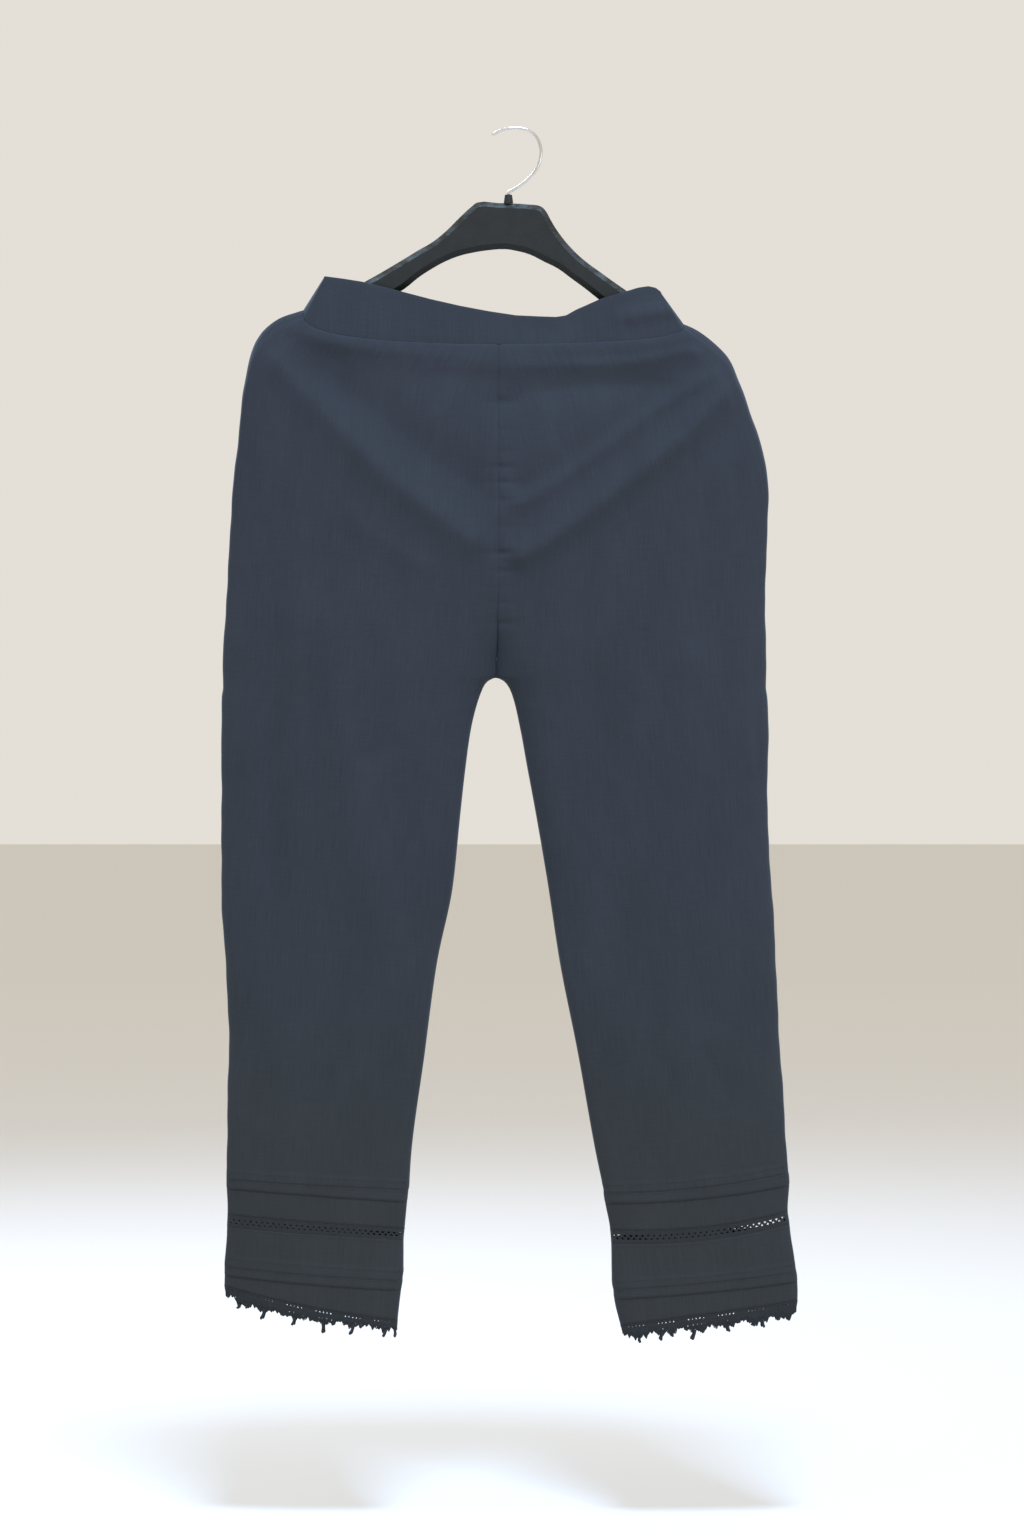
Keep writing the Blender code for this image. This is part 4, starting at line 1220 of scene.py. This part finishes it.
for side, face, tag in LEG_HALVES:
    across = columns_across(EDGING_COLUMNS, True)
    down = np.linspace(0, 1, EDGING_ROWS)[:, None]
    drop = down * foot_length(side, across)
    curl = CURL * np.sin(across * SCALLOPS * CURL_TURN + 1) * down**3 * np.sin(across * math.pi)
    points = on_cloth(side, face, np.clip(across + curl, 0, 1), PLACE_OF["hem edge"] + drop)
    hem_width = float(np.linalg.norm(np.diff(points[0], axis=0), axis=1).sum())
    holes = edging_holes(face, across, drop, hem_width)
    edging = grid_sheet(f"edging_{tag}", points, reversed_faces(side, face), THREAD, LACE_SHEET, holes)
    declare(edging, [f"lace_edging_{tag}"])
    chains = threads(f"edging_stitches_{tag}", edging_runs(side, face, hem_width), EDGING_THREAD, THREAD)
    picots = threads(f"picots_{tag}", picot_runs(side, face, hem_width), PICOT_THREAD, THREAD)
    declare(chains)
    declare(picots)
    print(edging.name, len(edging.data.polygons), "cells", len(chains.data.polygons), "faces of thread")

# %% [markdown]
# Sewing shows as rows of short stitches that sit in the cloth. Each is a stub of thread, and one row follows
# each tuck, both sides of the insertion, the hem and the waistband.

# %% Stitching
STITCH, STITCH_STEP, STITCH_THREAD, STITCH_OUT = 2.1, 3.0, 0.17, 0.05
SEAM_ENDS, SEAM_POINTS = 0.01, 90

# The row that a line of stitches follows, how far below it they run and how far out they stand
STITCH_ROWS = (
    ("tuck 1 stitch", 1.0, 2 * LAYER), ("tuck 2 stitch", 1.0, 2 * LAYER), ("inset top", -2.2, 0),
    ("inset foot", 2.4, 0), ("tuck 3 stitch", 1.0, 2 * LAYER), ("tuck 4 stitch", 1.0, 2 * LAYER),
    ("hem edge", -2.2, 0),
)


def stitches_along(points):
    """Short runs of thread along a line of points."""
    steps = np.linalg.norm(np.diff(points, axis=0), axis=1)
    walked = np.concatenate([[0], np.cumsum(steps)])
    runs = []
    for start in np.arange(STITCH_STEP, walked[-1] - STITCH_STEP, STITCH_STEP):
        ends = (start, start + STITCH)
        runs.append([[np.interp(far, walked, points[:, axis]) for axis in range(3)] for far in ends])
    return runs


for side, face, tag in LEG_HALVES:
    runs = []
    across = np.linspace(SEAM_ENDS, 1 - SEAM_ENDS, SEAM_POINTS)
    for name, far, lift in STITCH_ROWS:
        at = np.full(len(across), PLACE_OF[name] + far)
        runs += stitches_along(on_cloth(side, face, across, at, lift + SHEET / 2 + STITCH_OUT))
    stitching = threads(f"stitching_{tag}", runs, STITCH_THREAD, THREAD, 0)
    declare(stitching)
    print(stitching.name, len(stitching.data.polygons), "faces")

# %% [markdown]
# The hanger is one moulded plate with a slanting facet along its edges, so it is a flat outline with depth
# and a bevel. Its upward faces carry pale marks that are partly scuffs and partly a painted highlight where
# the light from above falls. The hook is a bent steel wire. The plate's left end lies a little lower than its
# solid, so that it stays inside the cloth.

# %% Hanger
HANGER_OUTLINE = (
    (-36, -68.5), (-41, -72), (-52, -82), (-65, -95), (-78, -105.5), (-91, -113),
    (-104, -121), (-142, -143), (-164, -154), (-184, -166.5), (-198, -174.5),
    (-216.5, -184), (-229.5, -194.5), (-237.5, -204), (-241, -211), (-242, -216),
    (-236, -217), (-227, -214), (-210, -204.5), (-182, -191.5), (-145, -173),
    (-104, -149), (-91, -138.5), (-78, -130), (-65, -123), (-52, -118),
    (-39, -115), (-26, -113), (-10, -112), (0, -113.5), (13, -117), (26, -123.5),
    (39, -130), (52, -139.5), (65, -149), (97, -175), (125, -195.5), (152.5, -212),
    (171, -222.5), (185, -231), (195, -236.5), (200.5, -235), (201.5, -228.5),
    (198, -220.5), (192, -213.5), (185.5, -205), (175, -195.5), (161.5, -188.5),
    (152.5, -183), (137, -172.5), (125, -165), (104, -151.5), (78, -133),
    (65, -123.5), (52, -111.5), (39, -95.5), (32, -84), (27.5, -76), (23, -72),
    (14, -70.5), (-17, -69),
)
HANGER_THICKNESS, HANGER_FACET = 11, 4.9
HOOK_RUN = (
    (-7, -61), (-7, -59.5), (-3.5, -57), (4, -52.5), (13, -45), (20, -35.5),
    (23, -26), (23, -17), (19.5, -8), (13, -2), (5, 1), (0, 1.5),
    (-6, 1), (-12, -0.5), (-17.5, -3), (-22, -5.5),
)
HOOK_WIRE = 3
HANGER_SHARP_ANGLE = 18
SCRATCHES = (90, 90, 900)
PATCH_SHARE, SCRATCH_SHARE = 0.75, 0.25
SCUFF_FROM, SCUFF_FULL = 0.42, 0.66
# How far a face turns up before the pale marks show on it: a painted highlight from the light above
TOP_HIGHLIGHT_FROM, TOP_HIGHLIGHT_FULL = 0.25, 0.6
SCRATCH_RELIEF, SCRATCH_DEPTH = 0.06, 0.0003
PLASTIC_SPECULAR = 0.38


def scuff_group():
    """Rubbed patches and fine scratches: a mask, and a roughness that follows it."""
    group, taken, given = new_group(
        "scuffs",
        [("Vector", "Vector", None), ("Patch Size", "Float", 60.0),
         ("Smooth", "Float", 0.35), ("Rough", "Float", 0.6)],
        [("Mask", "Float"), ("Roughness", "Float"), ("Height", "Float")],
    )
    patches = add_node(
        group, "TexNoise", values={"Detail": 5, "Roughness": 0.7},
        links={"Vector": taken.outputs["Vector"], "Scale": taken.outputs["Patch Size"]})
    scratches = stretched_noise(group, taken.outputs["Vector"], SCRATCHES, 2)
    both = weighted_sum(group, patches.outputs["Fac"], PATCH_SHARE, scratches, SCRATCH_SHARE)
    mask = map_range(group, both, SCUFF_FROM, SCUFF_FULL)
    group.links.new(mask, given.inputs["Mask"])
    rough = add_node(
        group, "MapRange", links={
            "Value": mask, "To Min": taken.outputs["Smooth"], "To Max": taken.outputs["Rough"]})
    group.links.new(rough.outputs[0], given.inputs["Roughness"])
    group.links.new(scratches, given.inputs["Height"])
    return group


SCUFFS = scuff_group()


def hard_material(name, colour, scuff_and_highlight, metallic, smooth, rough, patch_size, top_highlight_only):
    """A hard surface with patches of another colour. With the switch for upward faces set, they show only where
    it faces up, partly scuffs and partly a painted highlight.
    """
    material, tree, shader = new_material(name)
    place = add_node(tree, "TexCoord")
    scuffs = add_node(
        tree, "Group", {"node_tree": SCUFFS},
        {"Patch Size": patch_size, "Smooth": smooth, "Rough": rough}, {"Vector": place.outputs["Object"]})
    mask = scuffs.outputs["Mask"]
    if top_highlight_only:
        parts = add_node(tree, "SeparateXYZ", links={"Vector": place.outputs["Normal"]})
        top_highlight_share = map_range(tree, parts.outputs["Z"], TOP_HIGHLIGHT_FROM, TOP_HIGHLIGHT_FULL)
        mask = math_node(tree, "MULTIPLY", mask, top_highlight_share)
    give_look(tree, shader, mixed_colour(tree, mask, colour, scuff_and_highlight), scuffs, SCRATCH_RELIEF, SCRATCH_DEPTH)
    shader.inputs["Metallic"].default_value = metallic
    return material


# The plastic's pale marks are partly scuffs and partly a painted highlight on its upward faces
PLASTIC = hard_material(
    "black_plastic", colour=(0.0095, 0.0108, 0.009), scuff_and_highlight=(0.085, 0.105, 0.105), metallic=0,
    smooth=0.42, rough=0.6, patch_size=70, top_highlight_only=True)
PLASTIC.node_tree.nodes["Principled BSDF"].inputs["Specular IOR Level"].default_value = PLASTIC_SPECULAR
STEEL = hard_material(
    "polished_steel", colour=(0.74, 0.72, 0.68), scuff_and_highlight=(0.60, 0.58, 0.55), metallic=1,
    smooth=0.16, rough=0.3, patch_size=200, top_highlight_only=False)


def curve_piece(name, run, closed, material, settings):
    """A smooth curve through points of X and Z, with its settings, made a mesh."""
    curve = bpy.data.curves.new(name, "CURVE")
    for key, value in settings.items():
        setattr(curve, key, value)
    spline = curve.splines.new("BEZIER")
    spline.bezier_points.add(len(run) - 1)
    spline.use_cyclic_u = closed
    for point, place in zip(spline.bezier_points, run):
        point.co = (place[0] * MM, place[1] * MM, 0)
        point.handle_left_type = point.handle_right_type = "AUTO"
    mesh, body = mesh_of(name, curve)
    for vert in body.verts:
        vert.co = Vector((vert.co.x, -vert.co.z, vert.co.y))
    body.to_mesh(mesh)
    body.free()
    return link(name, mesh, [material])


plate = curve_piece("hanger_plate", HANGER_OUTLINE, True, PLASTIC, {
    "dimensions": "2D", "fill_mode": "BOTH", "resolution_u": 3,
    "extrude": (HANGER_THICKNESS / 2 - HANGER_FACET) * MM, "bevel_depth": HANGER_FACET * MM,
    "bevel_resolution": 0, "offset": -HANGER_FACET * MM})
plate.data.set_sharp_from_angle(angle=math.radians(HANGER_SHARP_ANGLE))
declare(plate, ["hanger_body"])
wire = curve_piece("hook_wire", HOOK_RUN, False, STEEL, {
    "dimensions": "3D", "bevel_depth": HOOK_WIRE / 2 * MM, "bevel_resolution": 5, "resolution_u": 8,
    "use_fill_caps": True})
declare(wire, ["hanger_hook"])
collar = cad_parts["hanger_collar"]
collar.data.materials.clear()
collar.data.materials.append(PLASTIC)
print(plate.name, len(plate.data.polygons), "faces")
